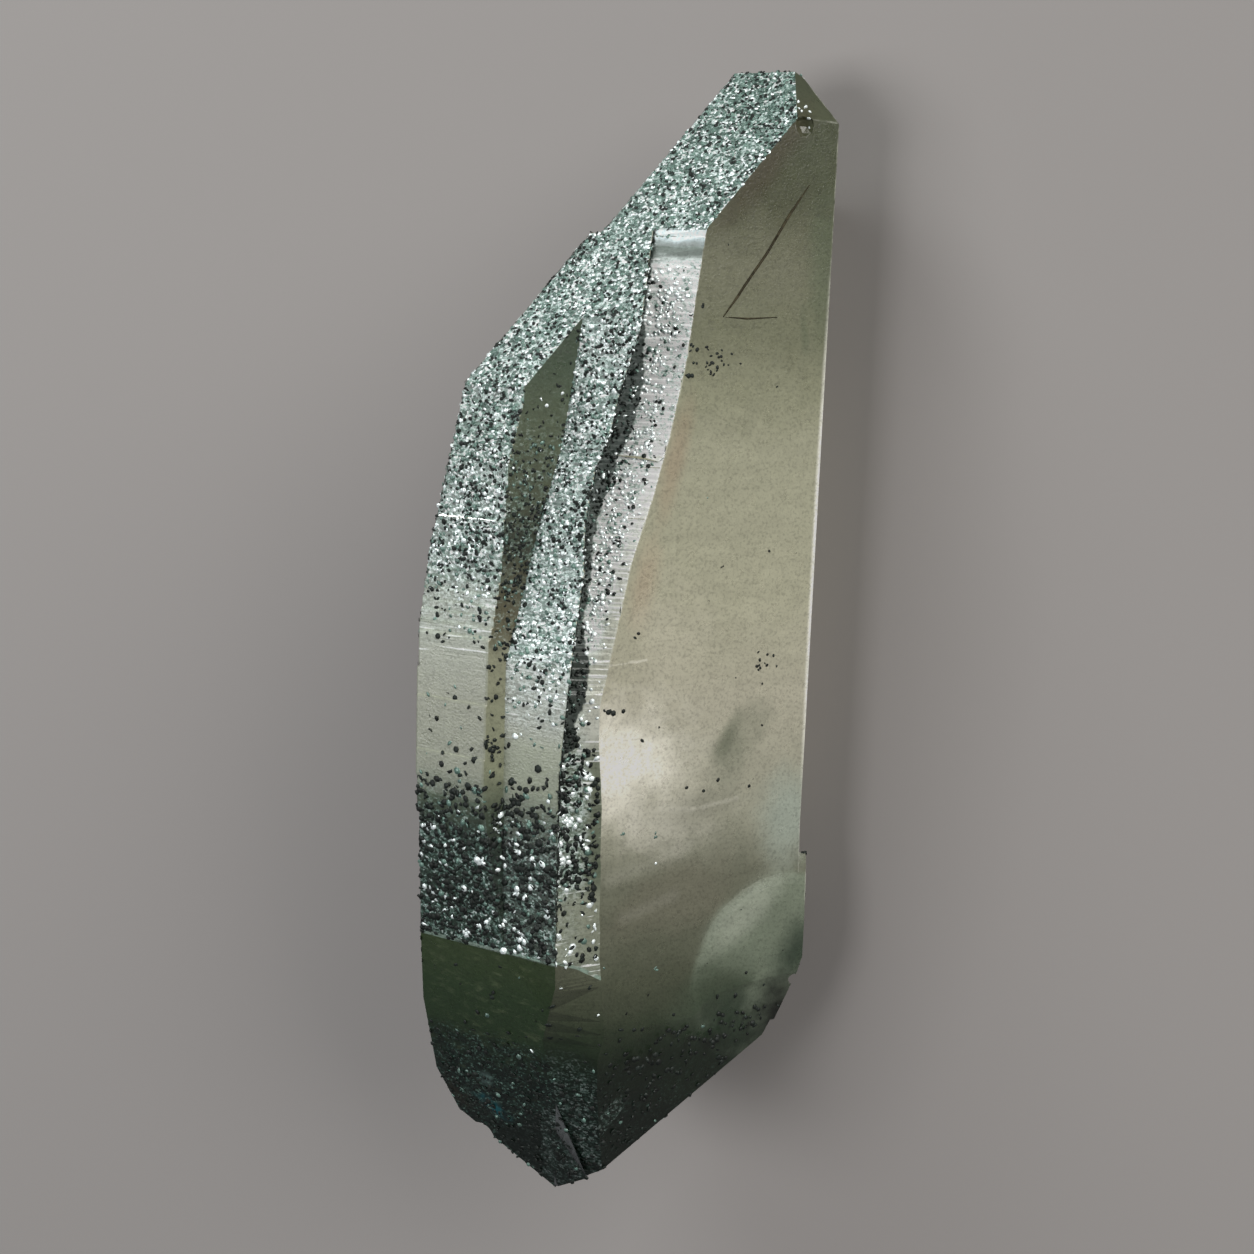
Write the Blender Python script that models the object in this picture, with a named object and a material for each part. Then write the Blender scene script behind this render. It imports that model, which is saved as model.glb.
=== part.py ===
"""A phantom quartz crystal: one hexagonal prism grown as three parallel columns.

It has a slanted termination and a broken, rehealed base. It lies on its widest hidden prism face, with the
c axis along +Y and the tip at +Y.

Lengths are in millimetres until the mesh is placed, and metres after that. Cross-sections are drawn in X
and Z. A prism face is given by its outward direction, in degrees from +X towards +Z, and its distance from
the axis.
"""
import math
import random

import bmesh
import bpy
from mathutils import Vector

MM = 0.001
SEED = 7
WELD = 0.0005
FLAT_ENOUGH = math.radians(0.05)

# Angles of quartz: prism faces are 60 degrees apart, and rhombohedral faces lean off the faces below them.
LEAN = math.radians(38.2)
TOP_FACE = 90.0
RIGHT_FACE = 30.0
LOWER_RIGHT_FACE = -30.0
REST_FACE = -90.0
LOWER_LEFT_FACE = -150.0
LEFT_FACE = 150.0

# Distances of the prism faces from the axis line.
REST_DISTANCE = 19.5
RIGHT_DISTANCE = 0.0
STEP_WALL_DISTANCE = -3.3

# Trends of the stepped faces, as (place along the axis, distance) from the tip down to the base.
LEFT_COLUMN = [(17.0, 3.95), (14.5, 4.0), (10.5, 4.85), (3.5, 5.15), (-1.6, 5.85), (-12.0, 6.05)]
MIDDLE_COLUMN = [(21.5, 0.1), (15.5, 0.85), (11.5, 1.45), (7.0, 2.65), (0.5, 4.0), (-2.5, 4.7),
                 (-13.0, 4.75), (-23.0, 4.4)]
RIGHT_COLUMN = [(27.0, -4.4), (22.0, -3.8), (17.6, -3.3), (12.5, -2.35), (8.8, -1.45), (4.3, -0.12),
                (0.1, 0.65), (-4.9, 1.6), (-8.0, 1.65), (-12.0, 1.35), (-24.4, 1.1)]
LEFT_SIDE = [(17.5, 10.9), (12.5, 11.75), (4.5, 13.4), (-0.5, 14.0), (-9.0, 14.15), (-15.0, 13.85),
             (-29.0, 13.95)]
BACK_COLUMN = [(24.0, 18.9), (16.0, 19.05), (6.0, 19.3), (-10.0, 19.5)]
BACK_TERRACE = [(22.0, 17.9), (12.0, 18.2), (2.0, 18.4), (-9.0, 18.85), (-19.0, 19.1)]
BACK_WALL = [(23.0, 4.6), (12.0, 6.2), (4.0, 6.6), (-6.0, 8.2), (-18.0, 8.6), (-30.0, 9.6)]
SPLIT_WALL = [(26.5, -1.0), (19.5, -0.2), (15.6, 0.95), (13.0, 1.5), (10.5, 2.4), (7.0, 2.97), (3.8, 2.95),
              (-0.3, 3.4), (-4.4, 3.8), (-10.0, 4.2), (-25.0, 4.1), (-30.0, 4.95), (-34.0, 3.9)]
LOWER_RIGHT_SIDE = [(-16.0, 13.3), (-25.3, 13.65), (-27.1, 13.0), (-28.0, 12.5), (-30.1, 12.2),
                    (-33.0, 10.9), (-36.0, 8.6)]

# How far the right column climbs the wall beside it, as a share of the wall's height, from the tip down.
RIGHT_RISE = [(26.0, 0.0), (23.0, 0.3), (0.0, 0.36), (-8.0, 0.5), (-19.0, 0.85), (-24.7, 1.0)]

# Height of one growth ledge on each stepped face, and how far each may vary.
TOP_LEDGE = 0.09
SIDE_LEDGE = 0.13
BACK_LEDGE = 0.1
LEDGE_SPREAD = 0.35
LEDGE_GAP = 0.02

# Facets below the last ledge of each column: the lean away from the axis, in degrees.
LAST_LEDGE_STEP = 0.12
LEFT_BASE_LEAN = 18.0
RIGHT_BASE = [(-24.7, 0.98), (-31.0, 0.45), (-39.0, -2.0), (-47.0, -4.6)]
SIDE_BASE = [(-35.4, 13.0), (-38.0, 11.7), (-47.0, 7.5)]

# Ends of the raw prism, before its faces are cut.
PRISM_TOP = 41.0
PRISM_BOTTOM = -47.0

# Rhombohedral faces of the termination: the prism face each stands over, and its distance.
TERMINATION = [
    (TOP_FACE, 12.75),
    (RIGHT_FACE, 20.8),
    (LOWER_RIGHT_FACE, 31.2),
    (REST_FACE, 33.1),
    (LOWER_LEFT_FACE, 28.1),
    (LEFT_FACE, 18.5),
]
TIP_TERRACE_DISTANCE = 17.9
TIP_TERRACE_START = 25.8
TIP_TERRACE_SIZE = 40.0

# Facets of the broken base: outward direction and distance.
BASE_FACETS = [
    ((0.847, -0.208, 0.489), 6.05),
    ((0.56, -0.79, -0.26), 31.85),
    ((-0.55, -0.77, -0.3), 37.9),
    ((-0.35, -0.72, -0.6), 35.3),
    ((0.25, -0.77, -0.59), 33.5),
    ((-0.82, -0.36, -0.45), 27.0),
    ((0.62, -0.34, -0.71), 23.6),
]

# A rounded growth lobe on the lower right of the big smooth face. Its rings are (radius, height over the
# face), from its root inside the crystal up to its flat top.
LOBE_CENTRE = (12.0, -26.8)
LOBE_RINGS = [(8.9, -0.4), (7.5, 0.0), (6.7, 0.19), (5.6, 0.31), (4.1, 0.38), (2.2, 0.42)]
LOBE_SIDES = 28
LOBE_REACH = 14.0

# Chips struck out of the edges: centre and radius.
CHIPS = [
    ((6.6, 33.2, -10.6), 0.95),
    ((0.6, 37.7, -13.0), 0.75),
    ((-0.9, 36.6, -13.6), 0.6),
    ((3.2, -35.9, -6.0), 1.3),
    ((-11.8, -40.6, -1.6), 1.2),
    ((-14.6, -36.6, -3.2), 1.1),
    ((1.1, -38.2, -1.5), 0.9),
    ((7.6, -27.6, -13.2), 0.6),
    ((-6.6, -42.9, -3.1), 0.8),
    ((-4.6, -40.2, -6.4), 1.7),
    ((-9.6, -37.0, -9.0), 1.6),
    ((2.0, -33.6, -13.0), 1.5),
    ((-15.9, 9.0, -12.6), 1.3),
    ((-18.6, -9.0, -5.4), 1.0),
]
CHIP_ROUGHNESS = 0.88

QUARTZ_COLOUR = (0.34, 0.33, 0.23, 1.0)
QUARTZ_ROUGHNESS = 0.08


def clear_scene():
    for thing in list(bpy.data.objects):
        bpy.data.objects.remove(thing, do_unlink=True)


def new_collection(name):
    collection = bpy.data.collections.new(name)
    bpy.context.scene.collection.children.link(collection)
    return collection


def face_direction(degrees):
    """Outward direction of a prism face."""
    return Vector((math.cos(math.radians(degrees)), 0.0, math.sin(math.radians(degrees))))


def rhomb_direction(degrees):
    """Outward direction of the rhombohedral face over a prism face."""
    return face_direction(degrees) * math.cos(LEAN) + Vector((0.0, math.sin(LEAN), 0.0))


def crossing(degrees_a, distance_a, degrees_b, distance_b):
    """Where two prism faces meet in the cross-section."""
    a, b = face_direction(degrees_a), face_direction(degrees_b)
    spread = a.x * b.z - a.z * b.x
    return ((distance_a * b.z - distance_b * a.z) / spread, (distance_b * a.x - distance_a * b.x) / spread)


def ledges(trend, height, dice):
    """Turns a smooth trend into growth ledges: flats along the axis, joined by rhombohedral slopes."""
    points = [trend[0]]
    level = trend[0][1]
    step = height * dice.uniform(1 - LEDGE_SPREAD, 1 + LEDGE_SPREAD)
    for (start, d0), (end, d1) in zip(trend, trend[1:]):
        if d1 == d0:
            continue
        sign = math.copysign(1.0, d1 - d0)
        while sign * (d1 - level) >= step:
            middle = level + sign * step / 2
            place = start + (end - start) * (middle - d0) / (d1 - d0)
            half_run = step / math.tan(LEAN) / 2
            place = min(place, points[-1][0] - half_run - LEDGE_GAP)
            points.append((place + half_run, level))
            level += sign * step
            points.append((place - half_run, level))
            step = height * dice.uniform(1 - LEDGE_SPREAD, 1 + LEDGE_SPREAD)
    points.append((min(trend[-1][0], points[-1][0] - LEDGE_GAP), level))
    return points


def read_profile(points, place):
    """Distance of a stepped face at one place along the axis."""
    if place >= points[0][0]:
        return points[0][1]
    for (upper, d0), (lower, d1) in zip(points, points[1:]):
        if upper > lower and upper >= place >= lower:
            return d0 + (d1 - d0) * (upper - place) / (upper - lower)
    return points[-1][1]


def column_profiles():
    """Every face that changes along the axis, as (place, distance) points from tip to base."""
    dice = random.Random(SEED)
    left = ledges(LEFT_COLUMN, TOP_LEDGE, dice)
    middle = ledges(MIDDLE_COLUMN, TOP_LEDGE, dice)
    right = ledges(RIGHT_COLUMN, TOP_LEDGE, dice)
    drop = math.tan(math.radians(LEFT_BASE_LEAN))
    ledge_place, ledge_level = MIDDLE_COLUMN[-1]
    foot = (PRISM_BOTTOM, ledge_level - LAST_LEDGE_STEP - drop * (ledge_place - PRISM_BOTTOM))
    shelf = (ledge_place - LAST_LEDGE_STEP, ledge_level - LAST_LEDGE_STEP)
    left += [(ledge_place + LAST_LEDGE_STEP, ledge_level), shelf, foot]
    middle += [(ledge_place, ledge_level), shelf, foot]
    right += RIGHT_BASE
    return {
        "left": left,
        "middle": middle,
        "right": right,
        "right_rise": RIGHT_RISE,
        "left_side": ledges(LEFT_SIDE, SIDE_LEDGE, dice) + SIDE_BASE,
        "back": ledges(BACK_COLUMN, BACK_LEDGE, dice),
        "back_terrace": ledges(BACK_TERRACE, BACK_LEDGE, dice),
        "back_wall": BACK_WALL,
        "split": SPLIT_WALL,
        "lower_right": LOWER_RIGHT_SIDE,
    }


def cross_section(profiles, place):
    """The corners of the crystal at one place along the axis, in order around it.

    Each entry is a face. The walls between two columns are entries too, between the columns' own faces.
    The right column leans: it climbs the wall beside it by its own share.
    """
    at = {name: read_profile(points, place) for name, points in profiles.items()}
    walk = [
        (LOWER_LEFT_FACE, at["back"]),
        (LEFT_FACE, at["back_wall"]),
        (LOWER_LEFT_FACE, at["back_terrace"]),
        (LEFT_FACE, at["left_side"]),
        (TOP_FACE, at["left"]),
        (RIGHT_FACE, STEP_WALL_DISTANCE),
        (TOP_FACE, at["middle"]),
        (LOWER_RIGHT_FACE, -at["split"]),
        (TOP_FACE, at["right"]),
        (RIGHT_FACE, RIGHT_DISTANCE),
        (LOWER_RIGHT_FACE, at["lower_right"]),
        (REST_FACE, REST_DISTANCE),
    ]
    corners = [crossing(*face, *walk[(i + 1) % len(walk)]) for i, face in enumerate(walk)]
    split_wall = (LOWER_RIGHT_FACE, -at["split"])
    climb = at["right"] + at["right_rise"] * (at["middle"] - at["right"])
    corners[walk.index(split_wall)] = crossing(*split_wall, TOP_FACE, climb)
    return corners


def raw_prism():
    """The stepped prism as a loft of cross-sections, one at each end of every ledge."""
    profiles = column_profiles()
    places = {PRISM_TOP, PRISM_BOTTOM}
    for points in profiles.values():
        places.update(round(place, 3) for place, _ in points if PRISM_BOTTOM < place < PRISM_TOP)
    shape = bmesh.new()
    rings = []
    for place in sorted(places):
        rings.append([shape.verts.new((x, place, z)) for x, z in cross_section(profiles, place)])
    for lower, upper in zip(rings, rings[1:]):
        for i, corner in enumerate(lower):
            j = (i + 1) % len(lower)
            shape.faces.new((corner, lower[j], upper[j], upper[i]))
    shape.faces.new(rings[0])
    shape.faces.new(rings[-1])
    bmesh.ops.remove_doubles(shape, verts=shape.verts, dist=WELD)
    bmesh.ops.recalc_face_normals(shape, faces=shape.faces)
    return shape


def cut_off(shape, direction, distance):
    """Cuts away what lies past a plane and closes the cut with one flat face."""
    normal = Vector(direction).normalized()
    everything = shape.verts[:] + shape.edges[:] + shape.faces[:]
    cut = bmesh.ops.bisect_plane(
        shape, geom=everything, dist=WELD, plane_co=normal * distance, plane_no=normal, clear_outer=True
    )
    rim = [edge for edge in cut["geom_cut"] if isinstance(edge, bmesh.types.BMEdge) and edge.is_boundary]
    if rim:
        bmesh.ops.holes_fill(shape, edges=rim, sides=0)


def cut_base(shape):
    for direction, distance in BASE_FACETS:
        cut_off(shape, direction, distance)


def mesh_object(name, shape, collection):
    bmesh.ops.recalc_face_normals(shape, faces=shape.faces)
    bmesh.ops.scale(shape, vec=(MM, MM, MM), verts=shape.verts)
    mesh = bpy.data.meshes.new(name)
    shape.to_mesh(mesh)
    shape.free()
    thing = bpy.data.objects.new(name, mesh)
    collection.objects.link(thing)
    return thing


def crystal_body(collection):
    shape = raw_prism()
    for degrees, distance in TERMINATION:
        cut_off(shape, rhomb_direction(degrees), distance)
    cut_base(shape)
    bmesh.ops.dissolve_limit(
        shape, angle_limit=FLAT_ENOUGH, use_dissolve_boundaries=False, verts=shape.verts, edges=shape.edges
    )
    bmesh.ops.triangulate(shape, faces=shape.faces)
    return mesh_object("quartz_crystal", shape, collection)


def growth_lobe(collection):
    """A low domed lobe on the big smooth face, reaching a little past the edge beside it."""
    across, place = LOBE_CENTRE
    shape = bmesh.new()
    turns = [2 * math.pi * i / LOBE_SIDES for i in range(LOBE_SIDES)]
    rings = []
    for radius, height in LOBE_RINGS:
        rings.append([shape.verts.new((radius * math.cos(t), radius * math.sin(t), height)) for t in turns])
    for lower, upper in zip(rings, rings[1:]):
        for i, corner in enumerate(lower):
            j = (i + 1) % LOBE_SIDES
            shape.faces.new((corner, lower[j], upper[j], upper[i]))
    shape.faces.new(rings[0])
    shape.faces.new(rings[-1])
    bmesh.ops.recalc_face_normals(shape, faces=shape.faces)
    turn = Vector((0.0, 0.0, 1.0)).rotation_difference(face_direction(RIGHT_FACE)).to_matrix()
    bmesh.ops.rotate(shape, matrix=turn, verts=shape.verts)
    spot = crossing(RIGHT_FACE, RIGHT_DISTANCE, LOWER_RIGHT_FACE, across)
    bmesh.ops.translate(shape, vec=(spot[0], place, spot[1]), verts=shape.verts)
    cut_off(shape, face_direction(LOWER_RIGHT_FACE), LOBE_REACH)
    cut_base(shape)
    return mesh_object("growth_lobe", shape, collection)


def tip_terrace(collection):
    """The strip that is missing from the left face of the termination near the tip."""
    outward = rhomb_direction(LEFT_FACE)
    shape = bmesh.new()
    bmesh.ops.create_cube(shape, size=TIP_TERRACE_SIZE)
    bmesh.ops.translate(shape, vec=(0.0, TIP_TERRACE_START + TIP_TERRACE_SIZE / 2, 0.0), verts=shape.verts)
    cut_off(shape, -outward, -TIP_TERRACE_DISTANCE)
    return mesh_object("tip_terrace", shape, collection)


def chip(number, centre, radius, collection):
    """A shallow shell-shaped break where an edge was struck."""
    shape = bmesh.new()
    bmesh.ops.create_icosphere(shape, subdivisions=2, radius=radius)
    dice = random.Random(SEED + number)
    for vert in shape.verts:
        vert.co *= dice.uniform(CHIP_ROUGHNESS, 1.0)
    bmesh.ops.translate(shape, vec=centre, verts=shape.verts)
    return mesh_object(f"chip_{number:02d}", shape, collection)


def boolean(body, tool, operation):
    tool.hide_render = True
    tool.display_type = "WIRE"
    modifier = body.modifiers.new(tool.name, "BOOLEAN")
    modifier.operation = operation
    modifier.object = tool
    modifier.solver = "EXACT"


def place_on_floor(body, things):
    """Moves everything so that the crystal's box is centred on the origin and stands on the floor."""
    bpy.context.view_layer.update()
    finished = body.evaluated_get(bpy.context.evaluated_depsgraph_get()).to_mesh()
    spots = [vert.co.copy() for vert in finished.vertices]
    lowest = Vector(min(spot[axis] for spot in spots) for axis in range(3))
    highest = Vector(max(spot[axis] for spot in spots) for axis in range(3))
    middle = (lowest + highest) / 2
    for thing in things:
        thing.location = (-middle.x, -middle.y, -lowest.z)


def quartz_material():
    material = bpy.data.materials.new("quartz")
    material.use_nodes = True
    shader = material.node_tree.nodes["Principled BSDF"]
    shader.inputs["Base Color"].default_value = QUARTZ_COLOUR
    shader.inputs["Roughness"].default_value = QUARTZ_ROUGHNESS
    shader.inputs["Metallic"].default_value = 0.0
    return material


def main():
    clear_scene()
    parts = new_collection("phantom_quartz_crystal")
    cutters = new_collection("cutters")
    body = crystal_body(parts)
    body.data.materials.append(quartz_material())
    boolean(body, growth_lobe(cutters), "UNION")
    boolean(body, tip_terrace(cutters), "DIFFERENCE")
    for number, (centre, radius) in enumerate(CHIPS, start=1):
        boolean(body, chip(number, centre, radius, cutters), "DIFFERENCE")
    place_on_floor(body, [body, *cutters.objects])


main()
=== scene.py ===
"""The looks of a phantom quartz crystal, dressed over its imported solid.

The quartz is one milky, half see-through body with worn edges. The chlorite is thousands of small bevelled
plates: one plate is modelled once and copied over the crystal in drifts. Places on the crystal are in
millimetres from its axis line, x and z across it and y along it with the tip at +y. Places on the big face
are in millimetres across and along it.
"""
import math
from collections import namedtuple

import bmesh
import bpy
import numpy as np
from mathutils import Matrix, Vector, noise


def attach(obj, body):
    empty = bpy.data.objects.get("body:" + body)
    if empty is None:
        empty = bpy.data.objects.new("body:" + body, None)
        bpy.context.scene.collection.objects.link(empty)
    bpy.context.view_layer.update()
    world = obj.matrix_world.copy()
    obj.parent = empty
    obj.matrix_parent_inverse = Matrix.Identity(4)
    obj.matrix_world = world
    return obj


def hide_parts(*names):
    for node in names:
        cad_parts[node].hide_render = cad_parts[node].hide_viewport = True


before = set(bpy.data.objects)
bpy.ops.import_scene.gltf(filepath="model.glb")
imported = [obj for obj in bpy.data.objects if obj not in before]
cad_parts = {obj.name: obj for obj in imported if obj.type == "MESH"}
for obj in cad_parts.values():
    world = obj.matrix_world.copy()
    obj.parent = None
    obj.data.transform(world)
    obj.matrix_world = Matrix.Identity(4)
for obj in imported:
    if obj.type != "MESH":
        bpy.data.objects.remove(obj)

bl_info = {
    "name": "Phantom quartz crystal",
    "version": (1, 0, 0),
    "blender": (4, 5, 0),
    "location": "3D View > Sidebar > Crystal",
    "description": "Dresses a packed quartz crystal with milky quartz, chlorite plates and a soft studio",
    "category": "Add Mesh",
}

MM = 0.001
BODY = "root"
NODE = "quartz_crystal"

# The axis line of the prism in the row frame, and the directions of the faces that the camera sees.
AXIS_LINE = Vector((5.372, 3.294, 19.5))
LEAN = math.radians(38.2)
BIG_FACE = Vector((math.cos(math.radians(30)), 0.0, math.sin(math.radians(30))))
RIGHT_SIDE = Vector((math.cos(math.radians(30)), 0.0, -math.sin(math.radians(30))))
TIP_FACE = Vector((0.0, math.sin(LEAN), math.cos(LEAN)))
ACROSS_BIG_FACE = Vector((math.sin(math.radians(30)), 0.0, -math.cos(math.radians(30))))

# Distances of the faces from the axis line, and where the columns end.
TIP_FACE_DISTANCE = 12.75
STEP_WALL_DISTANCE = -3.3
LAST_LEDGE = -23.0
TIP_END = 38.0
BASE_END = -44.0
SHARPEST_UNWORN = math.radians(24)

# Tables that run along the crystal, as (millimetres along, value) with the tip first: the wall between the
# middle and the right column, the height of the right column's edge, and the width of the groove beside that
# wall.
SPLIT_WALL = [(26.5, -1.0), (19.5, -0.2), (15.6, 0.95), (13.0, 1.5), (10.5, 2.4), (7.0, 2.97), (3.8, 2.95),
              (-0.3, 3.4), (-4.4, 3.8), (-10.0, 4.2), (-25.0, 4.1), (-30.0, 4.95)]
RIGHT_COLUMN = [(27.0, -4.4), (22.0, -3.8), (17.6, -3.3), (12.5, -2.35), (8.8, -1.45), (4.3, -0.12),
                (0.1, 0.65), (-4.9, 1.6), (-8.0, 1.65), (-12.0, 1.35), (-24.4, 1.1), (-31.0, 0.45),
                (-39.0, -2.0), (-47.0, -4.6)]
GROOVE_WIDTH = [(26.0, 0.16), (20.0, 0.2), (18.6, 0.7), (16.2, 1.6), (13.0, 1.7), (9.5, 1.4), (7.0, 0.9),
                (5.0, 0.55), (0.0, 0.55), (-1.4, 0.8), (-2.4, 1.4), (-5.0, 1.4), (-6.5, 0.8), (-8.0, 1.3),
                (-8.8, 0.0), (-30.0, 0.0)]

# The last ledge runs straight over the left and middle columns and drops a little over the right column.
LEDGE_DROP = 1.7
LEDGE_DROP_START = -2.2
LEDGE_DROP_RUN = 1.6


def paint(red, green, blue):
    """A colour seen as 0 to 255 values, as the linear values that a shader takes."""
    def linear(value):
        """One channel of the colour."""
        value /= 255
        return value / 12.92 if value <= 0.04045 else ((value + 0.055) / 1.055) ** 2.4
    return (linear(red), linear(green), linear(blue), 1.0)


def colour(name, description, default):
    """A colour setting of a panel."""
    return bpy.props.FloatVectorProperty(
        name=name, description=description, default=default[:3], subtype="COLOR", size=3, min=0.0, max=1.0
    )


def length(name, description, millimetres):
    """A length setting of a panel."""
    return bpy.props.FloatProperty(
        name=name, description=description, default=millimetres * MM, unit="LENGTH", min=0.0
    )


class QuartzLook(bpy.types.PropertyGroup):
    edge_wear: length("Edge wear", "Width of the worn band along each long edge", 0.09)
    shortest_worn_face: length("Shortest worn face", "Faces narrower than this keep their sharp edges", 0.3)
    # The growth lines are painted glints: drawn in this near-white colour where their tiny ledges catch the
    # light.
    growth_line_glint: colour("Growth lines", "The silvery lines across the stepped faces", paint(226, 232, 228))
    depth_tint: colour("Depth tint", "What is left of white light deep in the quartz", paint(190, 200, 168))
    density: bpy.props.FloatProperty(
        name="Tint density", description="How fast the quartz takes its tint with depth", default=420.0,
        min=0.0
    )


class ChloriteLook(bpy.types.PropertyGroup):
    smallest: length("Smallest plate", "Radius of the smallest chlorite plates", 0.11)
    largest: length("Largest plate", "Radius of the largest chlorite plates", 0.25)
    amount: bpy.props.FloatProperty(
        name="Amount", description="How many plates there are, as a share of the real crystal's",
        default=1.0, min=0.0, max=1.5
    )
    seed: bpy.props.IntProperty(
        name="Seed", description="Picks another scatter of the plates", default=11, min=0
    )
    # Lit and shaded copies of one chlorite: glinting plates are painted glints, teal plates painted light
    # through their edges, dark plates its own dark green facing away.
    bright: colour("Glinting plates", "Plates that catch the light", paint(226, 236, 236))
    teal: colour("Teal plates", "Plates seen through their edge", paint(84, 110, 101))
    dark: colour("Dark plates", "Plates that face away", paint(13, 21, 17))


class StudioLook(bpy.types.PropertyGroup):
    floor: colour("Floor", "The pale floor under the crystal", paint(139, 135, 133))
    overhead: bpy.props.FloatProperty(
        name="Overhead softbox", description="Power of the softbox above the columns", default=1.0, min=0.0,
        subtype="POWER"
    )
    tip: bpy.props.FloatProperty(
        name="Tip softbox", description="Power of the softbox beyond the tip", default=0.95, min=0.0,
        subtype="POWER"
    )
    fill: bpy.props.FloatProperty(
        name="Fill", description="Power of the wide fill beside the big face", default=7.6, min=0.0,
        subtype="POWER"
    )
    room: bpy.props.FloatProperty(
        name="Room light", description="Brightness of the grey room", default=0.13, min=0.0
    )


# A Mix node has sockets of the same name for numbers, vectors and colours, so its colours go by number.
MIX_FIRST_COLOUR, MIX_SECOND_COLOUR, MIX_COLOUR = 6, 7, 2


def add_node(tree, kind, **settings):
    """A new shader node with its settings."""
    made = tree.nodes.new(kind)
    for name, value in settings.items():
        setattr(made, name, value)
    return made


def feed(tree, socket, value):
    """Links an output to a socket, or sets the socket's own value."""
    if isinstance(value, bpy.types.NodeSocket):
        tree.links.new(value, socket)
    else:
        socket.default_value = value


def maths(tree, operation, first, second=0.0, third=0.0, clamp=False):
    """One step of a sum with numbers."""
    made = add_node(tree, "ShaderNodeMath", operation=operation, use_clamp=clamp)
    for socket, value in zip(made.inputs, (first, second, third)):
        feed(tree, socket, value)
    return made.outputs["Value"]


def plus(tree, first, second, clamp=False):
    """The sum of two numbers."""
    return maths(tree, "ADD", first, second, clamp=clamp)


def minus(tree, first, second, clamp=False):
    """The first number less the second."""
    return maths(tree, "SUBTRACT", first, second, clamp=clamp)


def one_minus(tree, value, clamp=False):
    """1 less a number, such as the outside of a mask."""
    return maths(tree, "SUBTRACT", 1.0, value, clamp=clamp)


def times(tree, first, second, clamp=False):
    """The product of two numbers, such as where two masks overlap."""
    return maths(tree, "MULTIPLY", first, second, clamp=clamp)


def times_plus(tree, first, second, third, clamp=False):
    """The first number times the second, and the third added."""
    return maths(tree, "MULTIPLY_ADD", first, second, third, clamp=clamp)


def vector_maths(tree, operation, first, second=(0.0, 0.0, 0.0)):
    """One step of a sum with vectors."""
    made = add_node(tree, "ShaderNodeVectorMath", operation=operation)
    feed(tree, made.inputs[0], first)
    feed(tree, made.inputs[1], second)
    is_number = operation in ("DOT_PRODUCT", "LENGTH", "DISTANCE")
    return made.outputs["Value" if is_number else "Vector"]


def dot(tree, first, second):
    """The dot product of two vectors."""
    return vector_maths(tree, "DOT_PRODUCT", first, second)


def smooth_step(tree, value, low, high):
    """0 below low, 1 above high, and a soft change between."""
    made = add_node(tree, "ShaderNodeMapRange", interpolation_type="SMOOTHSTEP")
    feed(tree, made.inputs["Value"], value)
    feed(tree, made.inputs["From Min"], low)
    feed(tree, made.inputs["From Max"], high)
    return made.outputs["Result"]


def grain(tree, place, scale, detail=3.0, roughness=0.5, distortion=0.0):
    """Smooth random noise of about 0 to 1."""
    made = add_node(tree, "ShaderNodeTexNoise")
    feed(tree, made.inputs["Vector"], place)
    made.inputs["Scale"].default_value = scale
    made.inputs["Detail"].default_value = detail
    made.inputs["Roughness"].default_value = roughness
    made.inputs["Distortion"].default_value = distortion
    return made.outputs["Fac"]


def stretch(tree, place, scale, turn=(0.0, 0.0, 0.0), shift=(0.0, 0.0, 0.0)):
    """A place turned, scaled and then shifted."""
    made = add_node(tree, "ShaderNodeMapping")
    feed(tree, made.inputs["Vector"], place)
    made.inputs["Location"].default_value = shift
    made.inputs["Rotation"].default_value = turn
    made.inputs["Scale"].default_value = scale
    return made.outputs["Vector"]


def blend(tree, share, first, second, way="MIX"):
    """A share of the second colour laid over the first."""
    made = add_node(tree, "ShaderNodeMix", data_type="RGBA", blend_type=way)
    feed(tree, made.inputs["Factor"], share)
    feed(tree, made.inputs[MIX_FIRST_COLOUR], first)
    feed(tree, made.inputs[MIX_SECOND_COLOUR], second)
    return made.outputs[MIX_COLOUR]


def even_range(tree, value, low, high):
    """0 at low, 1 at high, and an even change between."""
    made = add_node(tree, "ShaderNodeMapRange")
    feed(tree, made.inputs["Value"], value)
    feed(tree, made.inputs["From Min"], low)
    feed(tree, made.inputs["From Max"], high)
    return made.outputs["Result"]


def colour_ramp(tree, share, stops):
    """A colour for each share from 0 to 1, from a list of (share, colour) in rising order."""
    made = add_node(tree, "ShaderNodeValToRGB")
    feed(tree, made.inputs["Fac"], share)
    points = made.color_ramp.elements
    while len(points) < len(stops):
        points.new(0.5)
    for point, (place, tone) in zip(points, stops):
        point.position = min(max(place, 0.0), 1.0)
        point.color = tone
    return made.outputs["Color"]


def along_ramp(tree, along, stops):
    """A colour for each place along the crystal, from a list of (millimetres, colour) with the tip first."""
    shares = [((place - BASE_END) / (TIP_END - BASE_END), tone) for place, tone in reversed(stops)]
    return colour_ramp(tree, even_range(tree, along, BASE_END, TIP_END), shares)


def along_value(tree, along, steps):
    """A number for each place along the crystal, from a list of (millimetres, number) with the tip first."""
    low = min(value for _, value in steps)
    reach = max(value for _, value in steps) - low
    greys = [(place, ((value - low) / reach,) * 3 + (1.0,)) for place, value in steps]
    return times_plus(tree, along_ramp(tree, along, greys), reach, low)


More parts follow.
